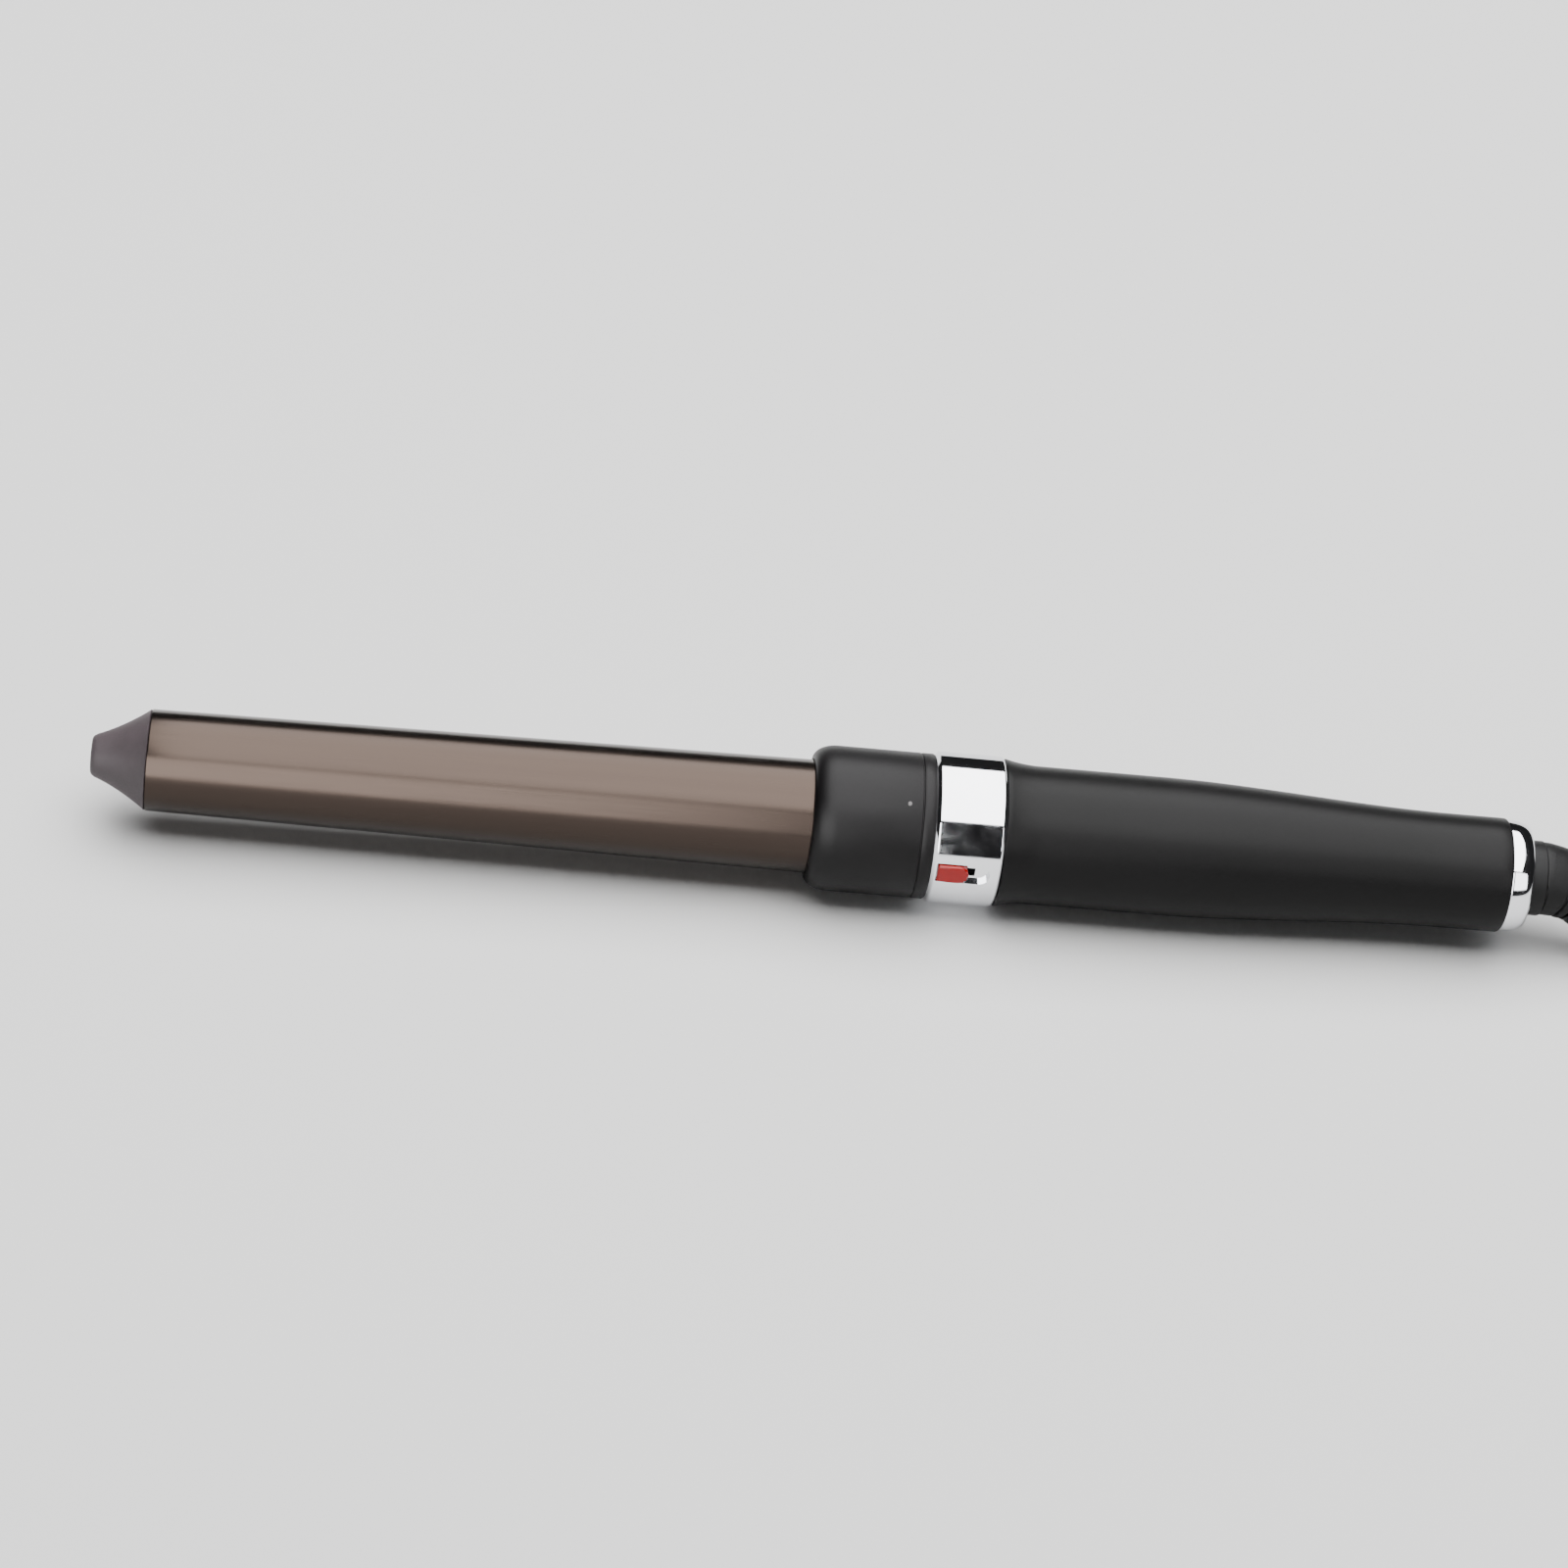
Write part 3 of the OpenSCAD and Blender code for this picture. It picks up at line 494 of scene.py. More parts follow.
# %% Barrel
bore_r = 10.2 * MM
chamfer = 0.35 * MM
taper = [
    (BARREL_X + chamfer + (COLLAR_X - BARREL_X - chamfer) * t,
     BARREL_TIP_R + (BARREL_ROOT_R - BARREL_TIP_R) * t)
    for t in [i / 12 for i in range(13)]
]
barrel = turned("barrel", "wand", [
    (BARREL_X, bore_r), (BARREL_X, BARREL_TIP_R - chamfer),
    (BARREL_X + 0.35 * chamfer, BARREL_TIP_R - 0.2 * chamfer),
    *taper, (BARREL_END_X, BARREL_ROOT_R), (BARREL_END_X, bore_r),
])
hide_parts("barrel_tube")
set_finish(barrel, "barrel_coating")

# %% [markdown]
# ## Collar
# The black collar shields the hand from the barrel's hot end. Its front is a quarter ellipse, a fine
# groove runs round it near the chrome ring, and a pin-hole for the pilot light sits on the tool's
# own top, which is turned toward the viewer.

# %% Collar
COLLAR_WALL = 1.65 * MM
LIP_ROOM, LIP_EDGE, LIP_LEN = 0.2 * MM, 0.4 * MM, 3.5 * MM
ROUND_LEN = 5.5 * MM
GROOVE_FROM_RING = 3 * MM

collar_in = COLLAR_R - COLLAR_WALL
lip_r = BARREL_ROOT_R + LIP_ROOM
front_r = lip_r + LIP_EDGE
front = [
    (COLLAR_X + ROUND_LEN * (1 - math.cos(a)), front_r + (COLLAR_R - front_r) * math.sin(a))
    for a in [math.pi / 2 * i / 16 for i in range(17)]
]
groove_x = RING_X - GROOVE_FROM_RING
groove = [
    (groove_x - 0.35 * MM, COLLAR_R), (groove_x - 0.2 * MM, COLLAR_R - 0.06 * MM),
    (groove_x - 0.08 * MM, COLLAR_R - 0.32 * MM), (groove_x + 0.08 * MM, COLLAR_R - 0.32 * MM),
    (groove_x + 0.2 * MM, COLLAR_R - 0.06 * MM), (groove_x + 0.35 * MM, COLLAR_R),
]
collar = turned("collar_shell", "wand", [
    (COLLAR_X + LIP_LEN, lip_r), (COLLAR_X + 0.1 * MM, lip_r), (COLLAR_X, lip_r + 0.1 * MM),
    *front, *groove, (RING_X - 0.3 * MM, COLLAR_R), (RING_X, COLLAR_R - 0.25 * MM),
    (RING_X, collar_in), (COLLAR_X + LIP_LEN, collar_in),
])
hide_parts("collar")
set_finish(collar, "collar_plastic")

# %% Pilot light window
LIGHT_FROM_RING = 6.3 * MM
LIGHT_R, LIGHT_DEEP = 0.6 * MM, 1.8 * MM
LIGHT_SUNK = 0.86 * MM


def facing(turn):
    """The direction out of the wand, across its axis, for a turn from straight up toward -Y."""
    return Vector((0, -math.sin(turn), math.cos(turn)))


def in_facing(turn, x):
    """A frame on the wand's axis at x: its Z points out at a turn, and its X along the wand."""
    out = facing(turn)
    across = out.cross(Vector((1, 0, 0)))
    return Matrix((
        (1, across.x, out.x, x),
        (0, across.y, out.y, 0),
        (0, across.z, out.z, AXIS_Z),
        (0, 0, 0, 1),
    ))


bm = bmesh.new()
bmesh.ops.create_cone(bm, cap_ends=True, segments=32, radius1=LIGHT_R, radius2=LIGHT_R,
                      depth=LIGHT_DEEP)
top_edges = [e for e in bm.edges if all(v.co.z > 0 for v in e.verts)]
soften(bm, top_edges, 0.18 * MM, 3)
outward = Matrix.Translation((0, 0, COLLAR_R - LIGHT_SUNK))
bmesh.ops.transform(bm, matrix=in_facing(TOP_TURN, RING_X - LIGHT_FROM_RING) @ outward,
                    verts=bm.verts)
window = finish_piece(bm, "pilot_window", "wand")
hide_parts("pilot_light")
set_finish(window, "light_window")

# %% [markdown]
# ## Chrome switch ring
# The ring is a short plated tube with bevelled rims. A shallow recess, flat in front and round
# behind, holds the slider, and a slit in its floor lets the slider's stem through. The tube is a
# spin. The recess is cut with a Boolean, the one tool that gives clean walls in a round surface, and
# the cut mesh is read back from the modifier so that the piece ends up as plain geometry.

# %% Chrome switch ring
SLOT_X = RING_X + 1.2 * MM
GAP = 0.3 * MM  # round the slider, and between the end ring and the hub
SLIDER_LEN, SLIDER_W, TRAVEL = 7.2 * MM, 4.5 * MM, 4.6 * MM
SLOT_LEN, SLOT_W = SLIDER_LEN + TRAVEL + 2 * GAP, SLIDER_W + 2 * GAP
RECESS = 1.4 * MM
STEM_X, STEM_Y = 2.4 * MM, 1.5 * MM
SLIT_X = SLOT_X + 1.5 * MM
SLIT_DEEP = 6 * MM
RIM_SLOPE = 0.9 * MM
RING_IN = 15.2 * MM


def slot_prism(bm, length, width, low, high, corner=0.35 * MM):
    """A prism with a flat front and a round back, from z low to z high, starting at x 0."""
    half = width / 2
    outline = [(length - half + half * math.cos(a), half * math.sin(a))
               for a in [math.pi * (i / 24 - 0.5) for i in range(25)]]
    for sign in (1, -1):
        corners = [(corner * (1 - math.sin(b)), sign * (half - corner * (1 - math.cos(b))))
                   for b in [math.pi / 2 * i / 4 for i in range(5)]]
        outline += corners if sign > 0 else corners[::-1]
    prism(bm, outline, low, high)


def cut(piece, cutters, name):
    """Cut pieces out of another and keep the result as plain geometry."""
    for cutter in cutters:
        modifier = piece.modifiers.new("cut", "BOOLEAN")
        modifier.operation = "DIFFERENCE"
        modifier.solver = "EXACT"
        modifier.object = cutter
    graph = bpy.context.evaluated_depsgraph_get()
    mesh = bpy.data.meshes.new_from_object(piece.evaluated_get(graph))
    piece.modifiers.clear()
    piece.data = mesh
    mesh.name = name
    mesh.shade_smooth()
    mesh.set_sharp_from_angle(angle=math.radians(25))
    for cutter in cutters:
        bpy.data.objects.remove(cutter)
    print("cut", name, "to", len(mesh.polygons), "faces")


def cutter_from(bm, name, turn, x):
    """A cutter that stands in the wand at a turn, and that is not a piece of the object."""
    bmesh.ops.transform(bm, matrix=in_facing(turn, x), verts=bm.verts)
    bmesh.ops.recalc_face_normals(bm, faces=bm.faces)
    mesh = bpy.data.meshes.new(name)
    bm.to_mesh(mesh)
    bm.free()
    cutter = bpy.data.objects.new(name, mesh)
    bpy.context.scene.collection.objects.link(cutter)
    return cutter


ring = turned("chrome_switch_ring", "wand", rounded(
    [(RING_X, RING_IN), (RING_X, RING_R - RIM_SLOPE), (RING_X + RIM_SLOPE, RING_R),
     (HANDLE_X - RIM_SLOPE, RING_R), (HANDLE_X, RING_R - RIM_SLOPE), (HANDLE_X, RING_IN)],
    [0, 0.25 * MM, 0.5 * MM, 0.5 * MM, 0.25 * MM, 0]), smooth_angle=60)
bm = bmesh.new()
slot_prism(bm, SLOT_LEN, SLOT_W, RING_R - RECESS, RING_R + 3 * MM)
slot_cutter = cutter_from(bm, "slot_cutter", SWITCH_TURN, SLOT_X)
bm = bmesh.new()
bmesh.ops.create_cube(bm, size=1)
slit = (STEM_X + TRAVEL + 2 * GAP, STEM_Y + 2 * GAP, SLIT_DEEP)
bmesh.ops.scale(bm, vec=slit, verts=bm.verts)
bmesh.ops.translate(bm, vec=(slit[0] / 2, 0, RING_R - RECESS - 2 * MM), verts=bm.verts)
slit_cutter = cutter_from(bm, "slit_cutter", SWITCH_TURN, SLIT_X)
cut(ring, [slot_cutter, slit_cutter], "chrome_switch_ring")
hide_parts("switch_ring")
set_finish(ring, "ring_chrome")

# %% [markdown]
# ## Red slider
# The thumb moves this cap. It is a plain glossy moulding with a slightly domed top. The outline is
# extruded, the top is cut into strips so that it can follow the ring's curve, and the rim is
# bevelled.

# %% Red slider
PROUD = 0.8 * MM
DOME = 0.25 * MM
STRIPS_ALONG, STRIPS_ACROSS = 14, 8
top_r = RING_R + PROUD


def slice_at(bm, where, square_to):
    """Cut every face along a plane through a point, without taking anything away."""
    bmesh.ops.bisect_plane(bm, geom=bm.verts[:] + bm.edges[:] + bm.faces[:],
                           plane_co=where, plane_no=square_to)


bm = bmesh.new()
slot_prism(bm, SLIDER_LEN, SLIDER_W, RING_R - RECESS + GAP, top_r, corner=0.5 * MM)
for k in range(1, STRIPS_ALONG):
    slice_at(bm, (SLIDER_LEN * k / STRIPS_ALONG, 0, 0), (1, 0, 0))
for k in range(1 - STRIPS_ACROSS // 2, STRIPS_ACROSS // 2):
    slice_at(bm, (0, SLIDER_W * k / STRIPS_ACROSS, 0), (0, 1, 0))
bmesh.ops.recalc_face_normals(bm, faces=bm.faces)
rim = [e for e in sharp_edges(bm) if all(v.co.z > RING_R for v in e.verts)]
soften(bm, rim, 0.45 * MM, 4)
for v in bm.verts:
    if v.co.z > RING_R:
        v.co.z += math.sqrt(top_r ** 2 - v.co.y ** 2) - top_r
        v.co.z -= DOME * ((v.co.x - SLIDER_LEN / 2) / (SLIDER_LEN / 2)) ** 2
bmesh.ops.transform(bm, matrix=in_facing(SWITCH_TURN, SLOT_X + GAP), verts=bm.verts)
slider = finish_piece(bm, "red_slider", "slider", smooth_angle=50)
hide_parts("switch_slider")
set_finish(slider, "slider_red")

# %% [markdown]
# ## Handle
# One soft-touch skin covers the handle. It sweeps in behind the ring, stays straight under the
# fingers and then narrows in a long S toward the cord. The outline is a formula with close steps,
# so that the long highlight has no kinks.

# %% Handle
NECK_R = 16.1 * MM
SWEEP = 8.5 * MM
TAPER_FROM, TAPER_TO = 38 * MM, 106 * MM
HANDLE_END_R = 13.4 * MM
SKIN = 1.6 * MM
handle_front_r = widest("handle_sleeve")


def handle_r(x):
    """The handle's radius at a distance from its front."""
    in_sweep = max(1 - x / SWEEP, 0) ** 2
    in_taper = smooth_step((x - TAPER_FROM) / (TAPER_TO - TAPER_FROM))
    return NECK_R + (handle_front_r - NECK_R) * in_sweep + (HANDLE_END_R - NECK_R) * in_taper


handle_len = HANDLE_END_X - HANDLE_X
stations = [SWEEP * i / 14 for i in range(1, 14)]
stations += [SWEEP + (handle_len - 0.4 * MM - SWEEP) * i / 44 for i in range(45)]
handle = turned("handle_skin", "wand", [
    (HANDLE_X, handle_front_r - SKIN), (HANDLE_X, handle_front_r - 0.3 * MM),
    (HANDLE_X + 0.1 * MM, handle_front_r - 0.08 * MM), (HANDLE_X + 0.3 * MM, handle_r(0.3 * MM)),
    *[(HANDLE_X + x, handle_r(x)) for x in stations[1:]],
    (HANDLE_END_X - 0.1 * MM, HANDLE_END_R - 0.12 * MM), (HANDLE_END_X, HANDLE_END_R - 0.4 * MM),
    (HANDLE_END_X, HANDLE_END_R - SKIN), (HANDLE_X + SWEEP, NECK_R - SKIN),
])
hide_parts("handle_sleeve")
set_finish(handle, "handle_soft_touch")

# %% [markdown]
# ## End ring and swivel hub
# The end ring is a plated dome that closes the handle. The black hub turns in it, and the cord boot
# is moulded onto the hub.

# %% End ring and swivel hub
dome_r = HANDLE_END_R - 0.25 * MM
dome_rear_r = HANDLE_END_R - 2 * MM
dome_len = REAR_X - HANDLE_END_X
dome = [
    (HANDLE_END_X + 0.6 * MM + (dome_len - 0.6 * MM) * math.sin(a),
     dome_rear_r + (dome_r - dome_rear_r) * math.cos(a))
    for a in [math.radians(84) * i / 14 for i in range(15)]
]
hole_r = HUB_R + GAP
end_ring = turned("chrome_end_ring", "wand", [
    (HANDLE_END_X, hole_r), (HANDLE_END_X, dome_r - 0.3 * MM),
    (HANDLE_END_X + 0.08 * MM, dome_r - 0.08 * MM), (HANDLE_END_X + 0.3 * MM, dome_r), *dome,
    (REAR_X, dome_rear_r - 0.15 * MM), (REAR_X, hole_r + 0.3 * MM), (REAR_X - 0.25 * MM, hole_r),
], smooth_angle=60)
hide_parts("end_ring")
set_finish(end_ring, "ring_chrome")

shaft_x = span("swivel_hub")[0]
hub_from = HANDLE_END_X + 2.5 * MM
shaft_r = 6.45 * MM
hub = turned("swivel_hub_cap", "cord_set", rounded(
    [(shaft_x, 0), (shaft_x, shaft_r), (hub_from, shaft_r), (hub_from, HUB_R),
     (HUB_X, HUB_R), (HUB_X, 0)],
    [0, 0.3 * MM, 0, 0.3 * MM, 0.35 * MM, 0]), closed=False)
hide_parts("swivel_hub")
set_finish(hub, "hub_plastic")

# %% [markdown]
# ## Cord boot
# The boot keeps the cord from kinking where it leaves the hub. It is a soft moulding that tapers
# along the cord, with grooves that let it bend. Its rings are set square to the centre line and
# bridged one to the next, and the radius dips at each groove.

# %% Cord boot
BOOT_LINE = [(0, 0, 0), (1, 0, 0), (4.7, -0.3, -0.6), (9, -1, -2.2), (12.7, -2.2, -4.8),
             (16.3, -3.7, -8.1), (18.9, -4.8, -10), (21.4, -5.9, -11.6), (25.4, -7.6, -13.3)]
BOOT_R = [8.5, 8.5, 8.2, 7.6, 6.9, 6, 5.5, 5, 4.3]
FIRST_GROOVE, GROOVE_PITCH, GROOVE_DEEP = 6, 3.1, 0.85
PLAIN_END = 3
END_ROUND, START_ROUND = 0.5, 0.2
hub_face = Vector((HUB_X, 0, AXIS_Z))
centre = through([Vector(p) for p in BOOT_LINE], steps=16)
radii = through([Vector((r, 0, 0)) for r in BOOT_R], steps=16)


def groove_depth(distance, total):
    """How far a groove cuts in at a distance along the boot, in millimetres."""
    if distance < FIRST_GROOVE - GROOVE_PITCH / 2 or distance > total - PLAIN_END:
        return 0
    phase = ((distance - FIRST_GROOVE) / GROOVE_PITCH + 0.5) % 1 - 0.5
    return GROOVE_DEEP * smooth_step(1 - abs(phase) / 0.2)


def ring_at(bm, where, heading, radius, segments=72):
    """A circle of vertices square to a heading."""
    turn = heading.to_track_quat("Z", "Y").to_matrix().to_4x4()
    made = bmesh.ops.create_circle(bm, cap_ends=False, segments=segments, radius=radius,
                                   matrix=Matrix.Translation(where) @ turn)
    return made["verts"]


lengths = [0]
for a, b in zip(centre, centre[1:]):
    lengths.append(lengths[-1] + (b - a).length)
boot_len = lengths[-1]
bm = bmesh.new()
rings = []
for i, (point, radius) in enumerate(zip(centre, radii)):
    heading = (centre[min(i + 1, len(centre) - 1)] - centre[max(i - 1, 0)]).normalized()
    r = radius.x - groove_depth(lengths[i], boot_len)
    r -= END_ROUND * smooth_step(1 - (boot_len - lengths[i]) / 0.8)
    r -= START_ROUND * smooth_step(1 - lengths[i] / 0.4)
    rings.append(ring_at(bm, hub_face + point * MM, heading, r * MM))
bmesh.ops.bridge_loops(bm, edges=bm.edges[:])
for ends in (rings[0], rings[-1]):
    bmesh.ops.contextual_create(bm, geom=ends)
boot = finish_piece(bm, "cord_boot", "cord_set", smooth_angle=60)
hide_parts("boot")
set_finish(boot, "boot_rubber")
print("boot is", round(boot_len, 1), "mm long")

# %% [markdown]
# ## Cord tie
# A soft strap holds the hank together. It is the wall of a rounded box, so a cube loses its two end
# faces, gets its long corners rounded and then its thickness. A stud buttons the strap's end down.

# %% Cord tie
TIE_LOW, TIE_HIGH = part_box("cord_tie")
TIE_T = 1 * MM
tie_mid = (TIE_LOW + TIE_HIGH) / 2
tie_size = TIE_HIGH - TIE_LOW
bm = bmesh.new()
bmesh.ops.create_cube(bm, size=1,
                      matrix=Matrix.Translation(tie_mid) @ Matrix.Diagonal((*tie_size, 1)))
bmesh.ops.delete(bm, geom=[f for f in bm.faces if abs(f.normal.x) > 0.5], context="FACES")
long_edges = [e for e in bm.edges if abs(e.verts[0].co.x - e.verts[1].co.x) > tie_size.x / 2]
soften(bm, long_edges, 3.6 * MM, 10)
bmesh.ops.recalc_face_normals(bm, faces=bm.faces)
bmesh.ops.solidify(bm, geom=bm.faces[:], thickness=TIE_T)
soften(bm, sharp_edges(bm), 0.3 * MM, 3)
tie = finish_piece(bm, "cord_tie_strap", "cord_set")
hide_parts("cord_tie")
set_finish(tie, "tie_rubber")

bm = bmesh.new()
stud_place = Matrix.Translation((tie_mid.x, 4 * MM, TIE_HIGH.z + 0.8 * MM))
bmesh.ops.create_cone(bm, cap_ends=True, segments=48, radius1=4 * MM, radius2=3.2 * MM,
                      depth=1.8 * MM, matrix=stud_place)
stud_rim = [e for e in bm.edges if all(v.co.z > TIE_HIGH.z + MM for v in e.verts)]
soften(bm, stud_rim, 0.5 * MM, 4)
stud = finish_piece(bm, "tie_stud", "cord_set")
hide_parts("cord_tie")
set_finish(stud, "tie_rubber")

# %% [markdown]
# ## Plug
# A flat two-pin plug, moulded in one with its neck. The body's outline widens from the neck to the
# grip, so it starts as a face with six corners that is extruded and rounded. Each pin has a sleeve
# of the same plastic round its root.

# %% Plug body
PLUG_LOW, PLUG_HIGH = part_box("plug_body")
PINS_LOW, PINS_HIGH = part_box("plug_pins")
PIN_R, PIN_SLEEVE, PIN_SLEEVE_R = 2 * MM, 10 * MM, 1.75 * MM
NECK_LEN, SHOULDER_LEN, SHOULDER_HALF = 10 * MM, 14 * MM, 6.6 * MM
plug_end = PLUG_HIGH.x - PIN_SLEEVE
plug_start = PLUG_LOW.x + NECK_LEN
plug_y = (PLUG_LOW.y + PLUG_HIGH.y) / 2
plug_z = (PLUG_LOW.z + PLUG_HIGH.z) / 2
half_w = (PLUG_HIGH.y - PLUG_LOW.y) / 2
half_t = (PLUG_HIGH.z - PLUG_LOW.z) / 2
bm = bmesh.new()
grip_start = plug_start + SHOULDER_LEN
prism(bm, [
    (plug_start, plug_y - SHOULDER_HALF), (grip_start, plug_y - half_w), (plug_end, plug_y - half_w),
    (plug_end, plug_y + half_w), (grip_start, plug_y + half_w), (plug_start, plug_y + SHOULDER_HALF),
], plug_z - half_t, plug_z + half_t)
bmesh.ops.recalc_face_normals(bm, faces=bm.faces)
uprights = [e for e in bm.edges if abs(e.verts[0].co.z - e.verts[1].co.z) > half_t]
soften(bm, uprights, 4 * MM, 8)
soften(bm, sharp_edges(bm), 3 * MM, 8)
plug = finish_piece(bm, "plug_shell", "cord_set")
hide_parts("plug_body")
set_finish(plug, "plug_plastic")

# %% Plug neck and pin sleeves
bm = bmesh.new()
neck_steps = [(0, 3.9), (0.3, 4.15), (2, 4.5), (2.3, 4.1), (3.1, 4.1), (3.4, 4.8), (5, 5.1), (5.3, 4.6),
              (6.1, 4.6), (6.4, 5.4), (8.2, 5.75), (9, 6), (11.5, 6.3)]
along_wand = Vector((1, 0, 0))
neck_rings = [ring_at(bm, Vector((PLUG_LOW.x + x * MM, plug_y, plug_z)), along_wand, r * MM, 64)
              for x, r in neck_steps]
bmesh.ops.bridge_loops(bm, edges=bm.edges[:])
for ends in (neck_rings[0], neck_rings[-1]):
    bmesh.ops.contextual_create(bm, geom=ends)
neck = finish_piece(bm, "plug_neck", "cord_set")
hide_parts("plug_body")
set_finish(neck, "plug_plastic")

pin_sleeves = []
for side, y in (("near", PINS_LOW.y + PIN_R), ("far", PINS_HIGH.y - PIN_R)):
    bm = bmesh.new()
    middle = Matrix.Translation((plug_end + PIN_SLEEVE / 2 - MM / 2, y, plug_z))
    bmesh.ops.create_cone(bm, cap_ends=True, segments=48, radius1=PIN_SLEEVE_R, radius2=PIN_SLEEVE_R,
                          depth=PIN_SLEEVE + MM, matrix=middle @ Matrix.Rotation(math.pi / 2, 4, "Y"))
    piece = finish_piece(bm, "pin_sleeve_" + side, "cord_set")
    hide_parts("plug_body")
    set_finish(piece, "plug_plastic")
    pin_sleeves.append(piece)

# %% [markdown]
# ## Finishes on the wand
# The cool tip is a filled nylon, moulded matte, that scatters light into a broad grey. The collar
# and the hub are the same family in black. The handle has a soft-touch lacquer, whose fine grit
# spreads a highlight into one long soft band. The slider is glossy red polycarbonate. The pilot
# window is a smoked one under a clear coat, and the coat catches a point of light. Each grain is
# drawn about half a millimetre wide, coarser than the real one, because anything finer would vanish
# in a view of the whole tool.

# %% Moulded plastics on the wand
FINISH = {}


def moulded(slot, name, colours, rough, grain_mm=0.5, patch_mm=9, bump=0.02, **values):
    """A moulded plastic or rubber: its colour wanders a little, and its gloss with its grain."""
    material, tree, shader = new_material(name, **values)
    mottle(tree, shader, colours, rough, grain_mm, patch_mm, bump)
    FINISH[slot] = material


moulded("tip_plastic", "filled_nylon", ("#3b3336", "#443b3f"), (0.5, 0.62), bump=0.03, IOR=1.53,
        Specular_IOR_Level=0.3)
moulded("collar_plastic", "black_nylon", ("#080708", "#0c0a0c"), (0.38, 0.46), IOR=1.53,
        Specular_IOR_Level=0.14)
moulded("handle_soft_touch", "soft_touch_lacquer", ("#040404", "#070607"), (0.36, 0.44),
        grain_mm=0.4, patch_mm=25, IOR=1.5, Specular_IOR_Level=0.12)
moulded("hub_plastic", "satin_nylon", ("#060607", "#0a0a0b"), (0.4, 0.5), IOR=1.53,
        Specular_IOR_Level=0.15)
moulded("slider_red", "red_polycarbonate", ("#980100", "#a80201"), (0.16, 0.24),
        grain_mm=0.8, bump=0.004, IOR=1.58, Specular_IOR_Level=0.25)
moulded("light_window", "smoked_polycarbonate", ("#120606", "#180808"), (0.4, 0.5), grain_mm=0.3,
        bump=0.002, IOR=1.58, Coat_Weight=0.4)
print("plastics:", ", ".join(FINISH))

# %% [markdown]
# ## Finishes of the cord set
# Cord, boot and plug are plasticised PVC, a soft plastic with a dull skin. The cord's skin comes
# smooth from a die, so it has the least relief, and the plug and boot come from a spark-eroded
# mould, which leaves an even fine pit. The tie is silicone rubber, a little greyer and duller.

# %% Cord set plastics
moulded("cord_rubber", "extruded_pvc", ("#0c0c0e", "#121214"), (0.4, 0.52), grain_mm=0.7, patch_mm=30,
        IOR=1.52, Specular_IOR_Level=0.25)
moulded("boot_rubber", "moulded_pvc", ("#060607", "#0a0a0b"), (0.42, 0.52), bump=0.03, IOR=1.52,
        Specular_IOR_Level=0.15)
moulded("plug_plastic", "plug_pvc", ("#0c0c0e", "#121214"), (0.46, 0.58), bump=0.04, IOR=1.52,
        Specular_IOR_Level=0.3)
moulded("tie_rubber", "silicone_rubber", ("#19191b", "#202022"), (0.5, 0.62), IOR=1.43,
        Specular_IOR_Level=0.3)

# %% [markdown]
# ## Barrel coating
# The barrel is drawn aluminium under a titanium-toned ceramic film. Drawing and brushing leave fine
# lines along the tube, so the noise is stretched along X, and the film keeps the metal's gleam while
# giving it a bronze cast. The lines are drawn about 0.4 mm wide so that they show.

# %% Barrel coating
coating, tree, shader = new_material("bronze_titanium_film", Metallic=1)
mottle(tree, shader, ("#372f2b", "#3c342f"), (0.2, 0.28), grain_mm=0.4, patch_mm=14, bump=0.003,
       stretch=(0.02, 1, 1))
FINISH["barrel_coating"] = coating
print("coated the barrel with", coating.name)

# %% [markdown]
# ## Plated metals
# Chrome plate is nearly a mirror. What the eye reads as real is a slight haze where fingers have
# been, so its roughness wanders over a few millimetres. The plug's pins are nickel, warmer and duller
# from going in and out of sockets, with fine scratches along them.

# %% Plated metals


def metal(slot, name, colours, rough, grain_mm, patch_mm, bump, stretch=(1, 1, 1)):
    """A bare or plated metal, with its gloss following its grain."""
    material, tree, shader = new_material(name, Metallic=1)
    mottle(tree, shader, colours, rough, grain_mm, patch_mm, bump, stretch)
    FINISH[slot] = material


metal("ring_chrome", "chrome_plate", ("#dcdde0", "#e4e5e8"), (0.04, 0.1), 3, 12, 0.001)
metal("pin_metal", "nickel_plate", ("#c2bfb6", "#cbc8c0"), (0.16, 0.28), 0.3, 4, 0.004, (0.08, 1, 1))
metal("bare_aluminium", "extruded_aluminium", ("#c3c5c8", "#cdcfd2"), (0.26, 0.38), 0.4, 10, 0.01,
      (0.03, 1, 1))
metal("spring_steel", "rolled_steel", ("#8f9296", "#9a9da1"), (0.24, 0.36), 0.4, 6, 0.005, (0.1, 1, 1))
metal("screw_steel", "zinc_plate", ("#a9abb0", "#b8b9b4"), (0.22, 0.36), 0.3, 3, 0.005)
metal("contact_brass", "rolled_brass", ("#b89445", "#c5a254"), (0.18, 0.3), 0.3, 5, 0.004)

# %% [markdown]
# ## Hidden pieces
# The working pieces inside are covered too, because they show wherever the shell is opened: fired
# alumina, pressed mica, glass laminate and cast epoxy each have their own grain.

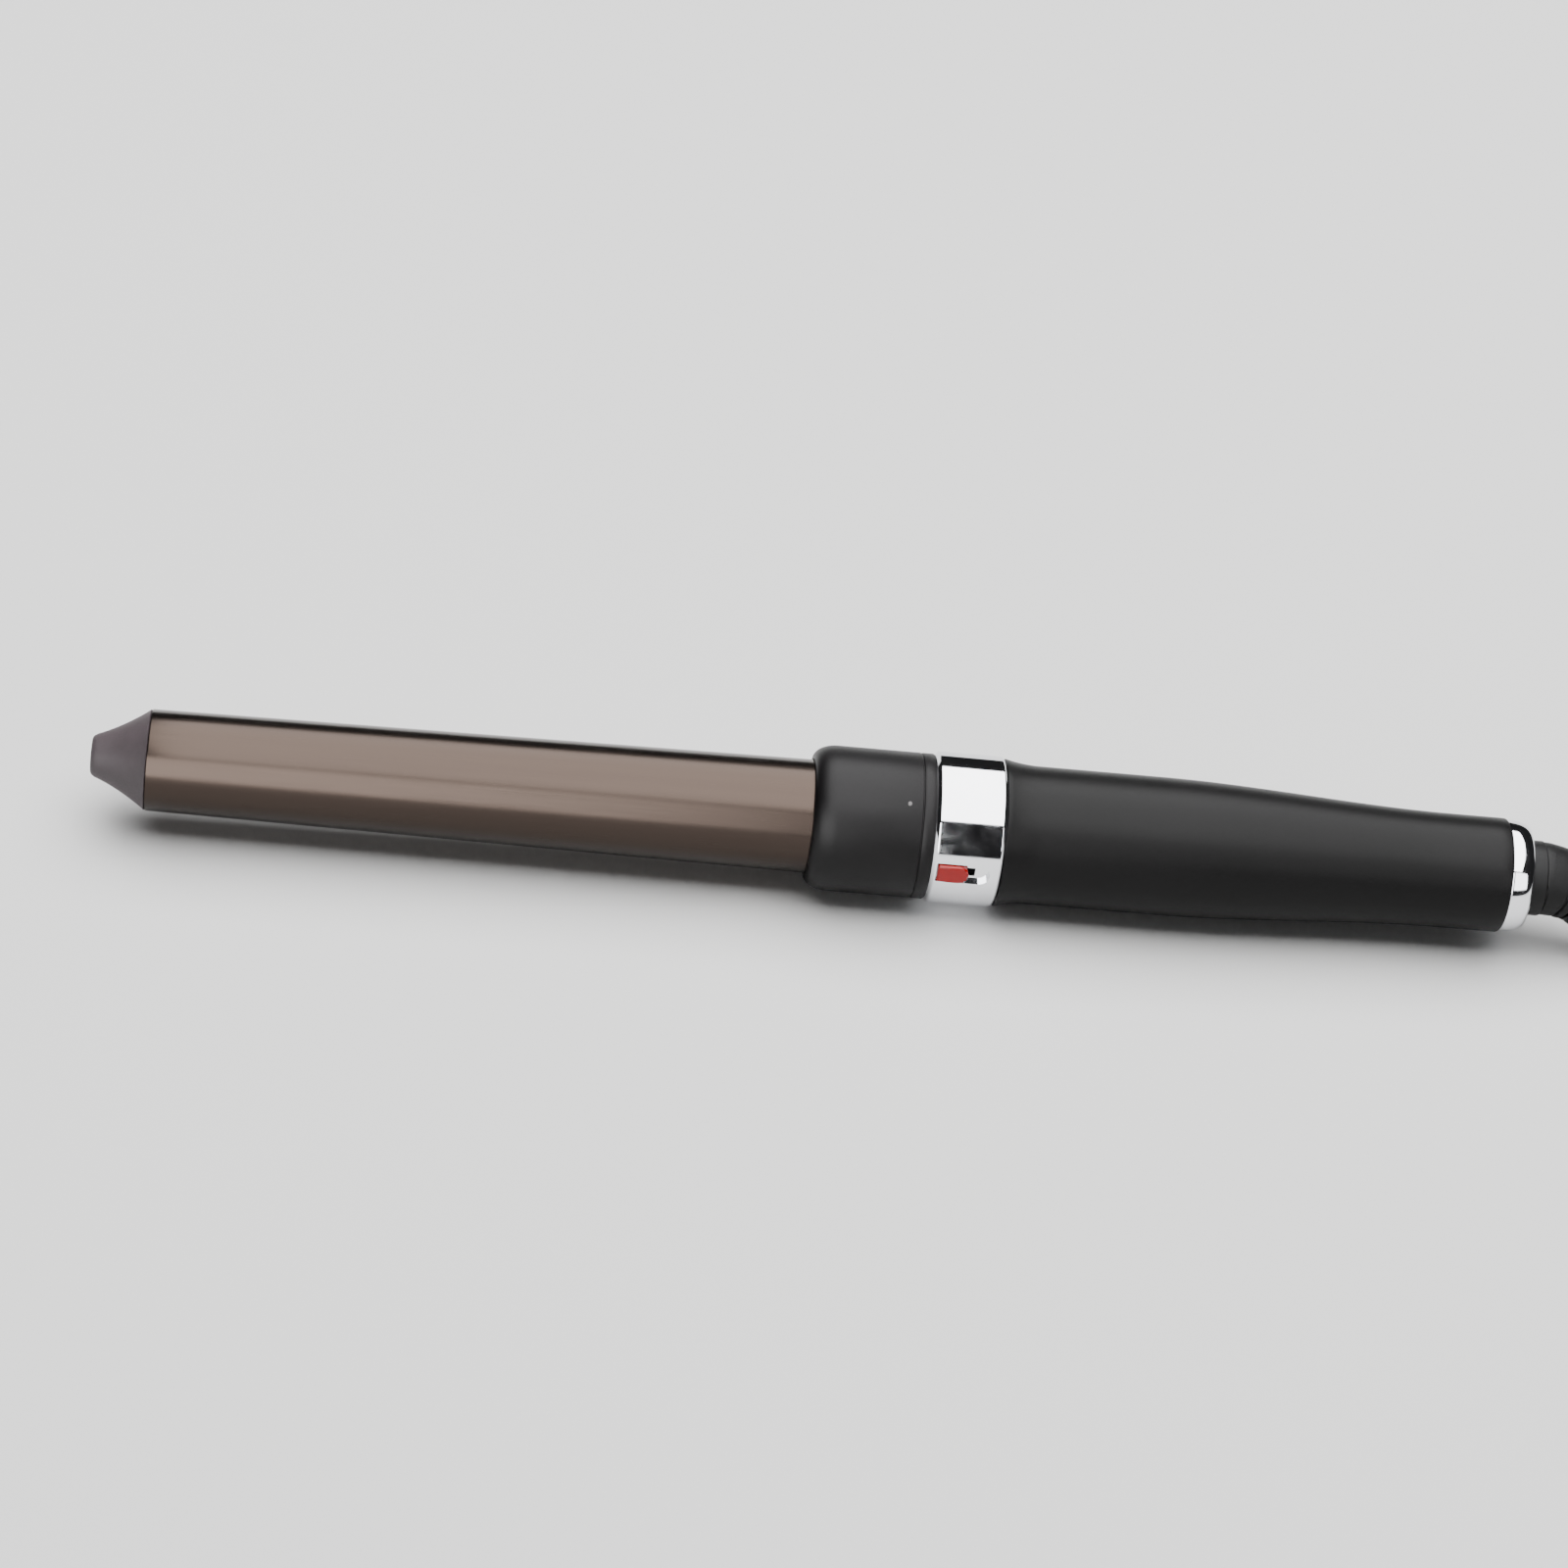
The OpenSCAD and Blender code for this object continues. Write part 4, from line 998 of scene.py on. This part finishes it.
# %% Hidden pieces
moulded("heater_ceramic", "fired_alumina", ("#e6e3da", "#efece4"), (0.55, 0.7), 0.3, 6, IOR=1.77)
moulded("insulating_mica", "pressed_mica", ("#b9ae93", "#cdc3a9"), (0.4, 0.6), 0.8, 3, IOR=1.58)
moulded("sensor_glass", "sensor_bead_glass", ("#a8632a", "#b86f33"), (0.1, 0.2), 0.4, 3, 0.002,
        IOR=1.52)
moulded("fuse_body", "lacquered_can", ("#cfcfc8", "#dadad4"), (0.25, 0.4), 0.4, 3, 0.004, IOR=1.5)
moulded("wire_insulation", "silicone_insulation", ("#cfcabd", "#dbd7cc"), (0.45, 0.6), 0.4, 8, IOR=1.43)
moulded("inner_plastic", "glass_filled_nylon", ("#232326", "#2c2c30"), (0.45, 0.6), 0.5, 8, IOR=1.53)
moulded("switch_plastic", "phenolic_moulding", ("#17171a", "#202024"), (0.35, 0.5), 0.4, 6, IOR=1.6)
moulded("board_laminate", "masked_glass_laminate", ("#0f4a2a", "#145432"), (0.28, 0.42), 0.5, 4,
        IOR=1.54)
moulded("capacitor_case", "cast_box", ("#c9a224", "#d4ad30"), (0.25, 0.4), 0.5, 5, IOR=1.55)
moulded("component_black", "epoxy_package", ("#121213", "#1a1a1b"), (0.5, 0.65), 0.3, 4, IOR=1.55)
moulded("resistor_coat", "resistor_lacquer", ("#a99468", "#b6a175"), (0.35, 0.5), 0.3, 3, IOR=1.5)

# %% [markdown]
# ## Put the finishes on
# A new piece is covered by the finish of the slot it names. A CAD node arrives with a plain material
# named for its slot, so that name finds its finish, and only the slot's material is changed.

# %% Put the finishes on
new_pieces = [cord, cool_tip, barrel, collar, window, ring, slider, handle, end_ring, hub, boot,
              tie, stud, plug, neck, *pin_sleeves]
for piece in new_pieces:
    cover(piece, FINISH[piece["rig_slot"]])
for node in nodes.values():
    for place_for in node.material_slots:
        place_for.material = FINISH[place_for.material.name]
print(len(FINISH), "finishes on", len(new_pieces), "new pieces and", len(nodes), "nodes")
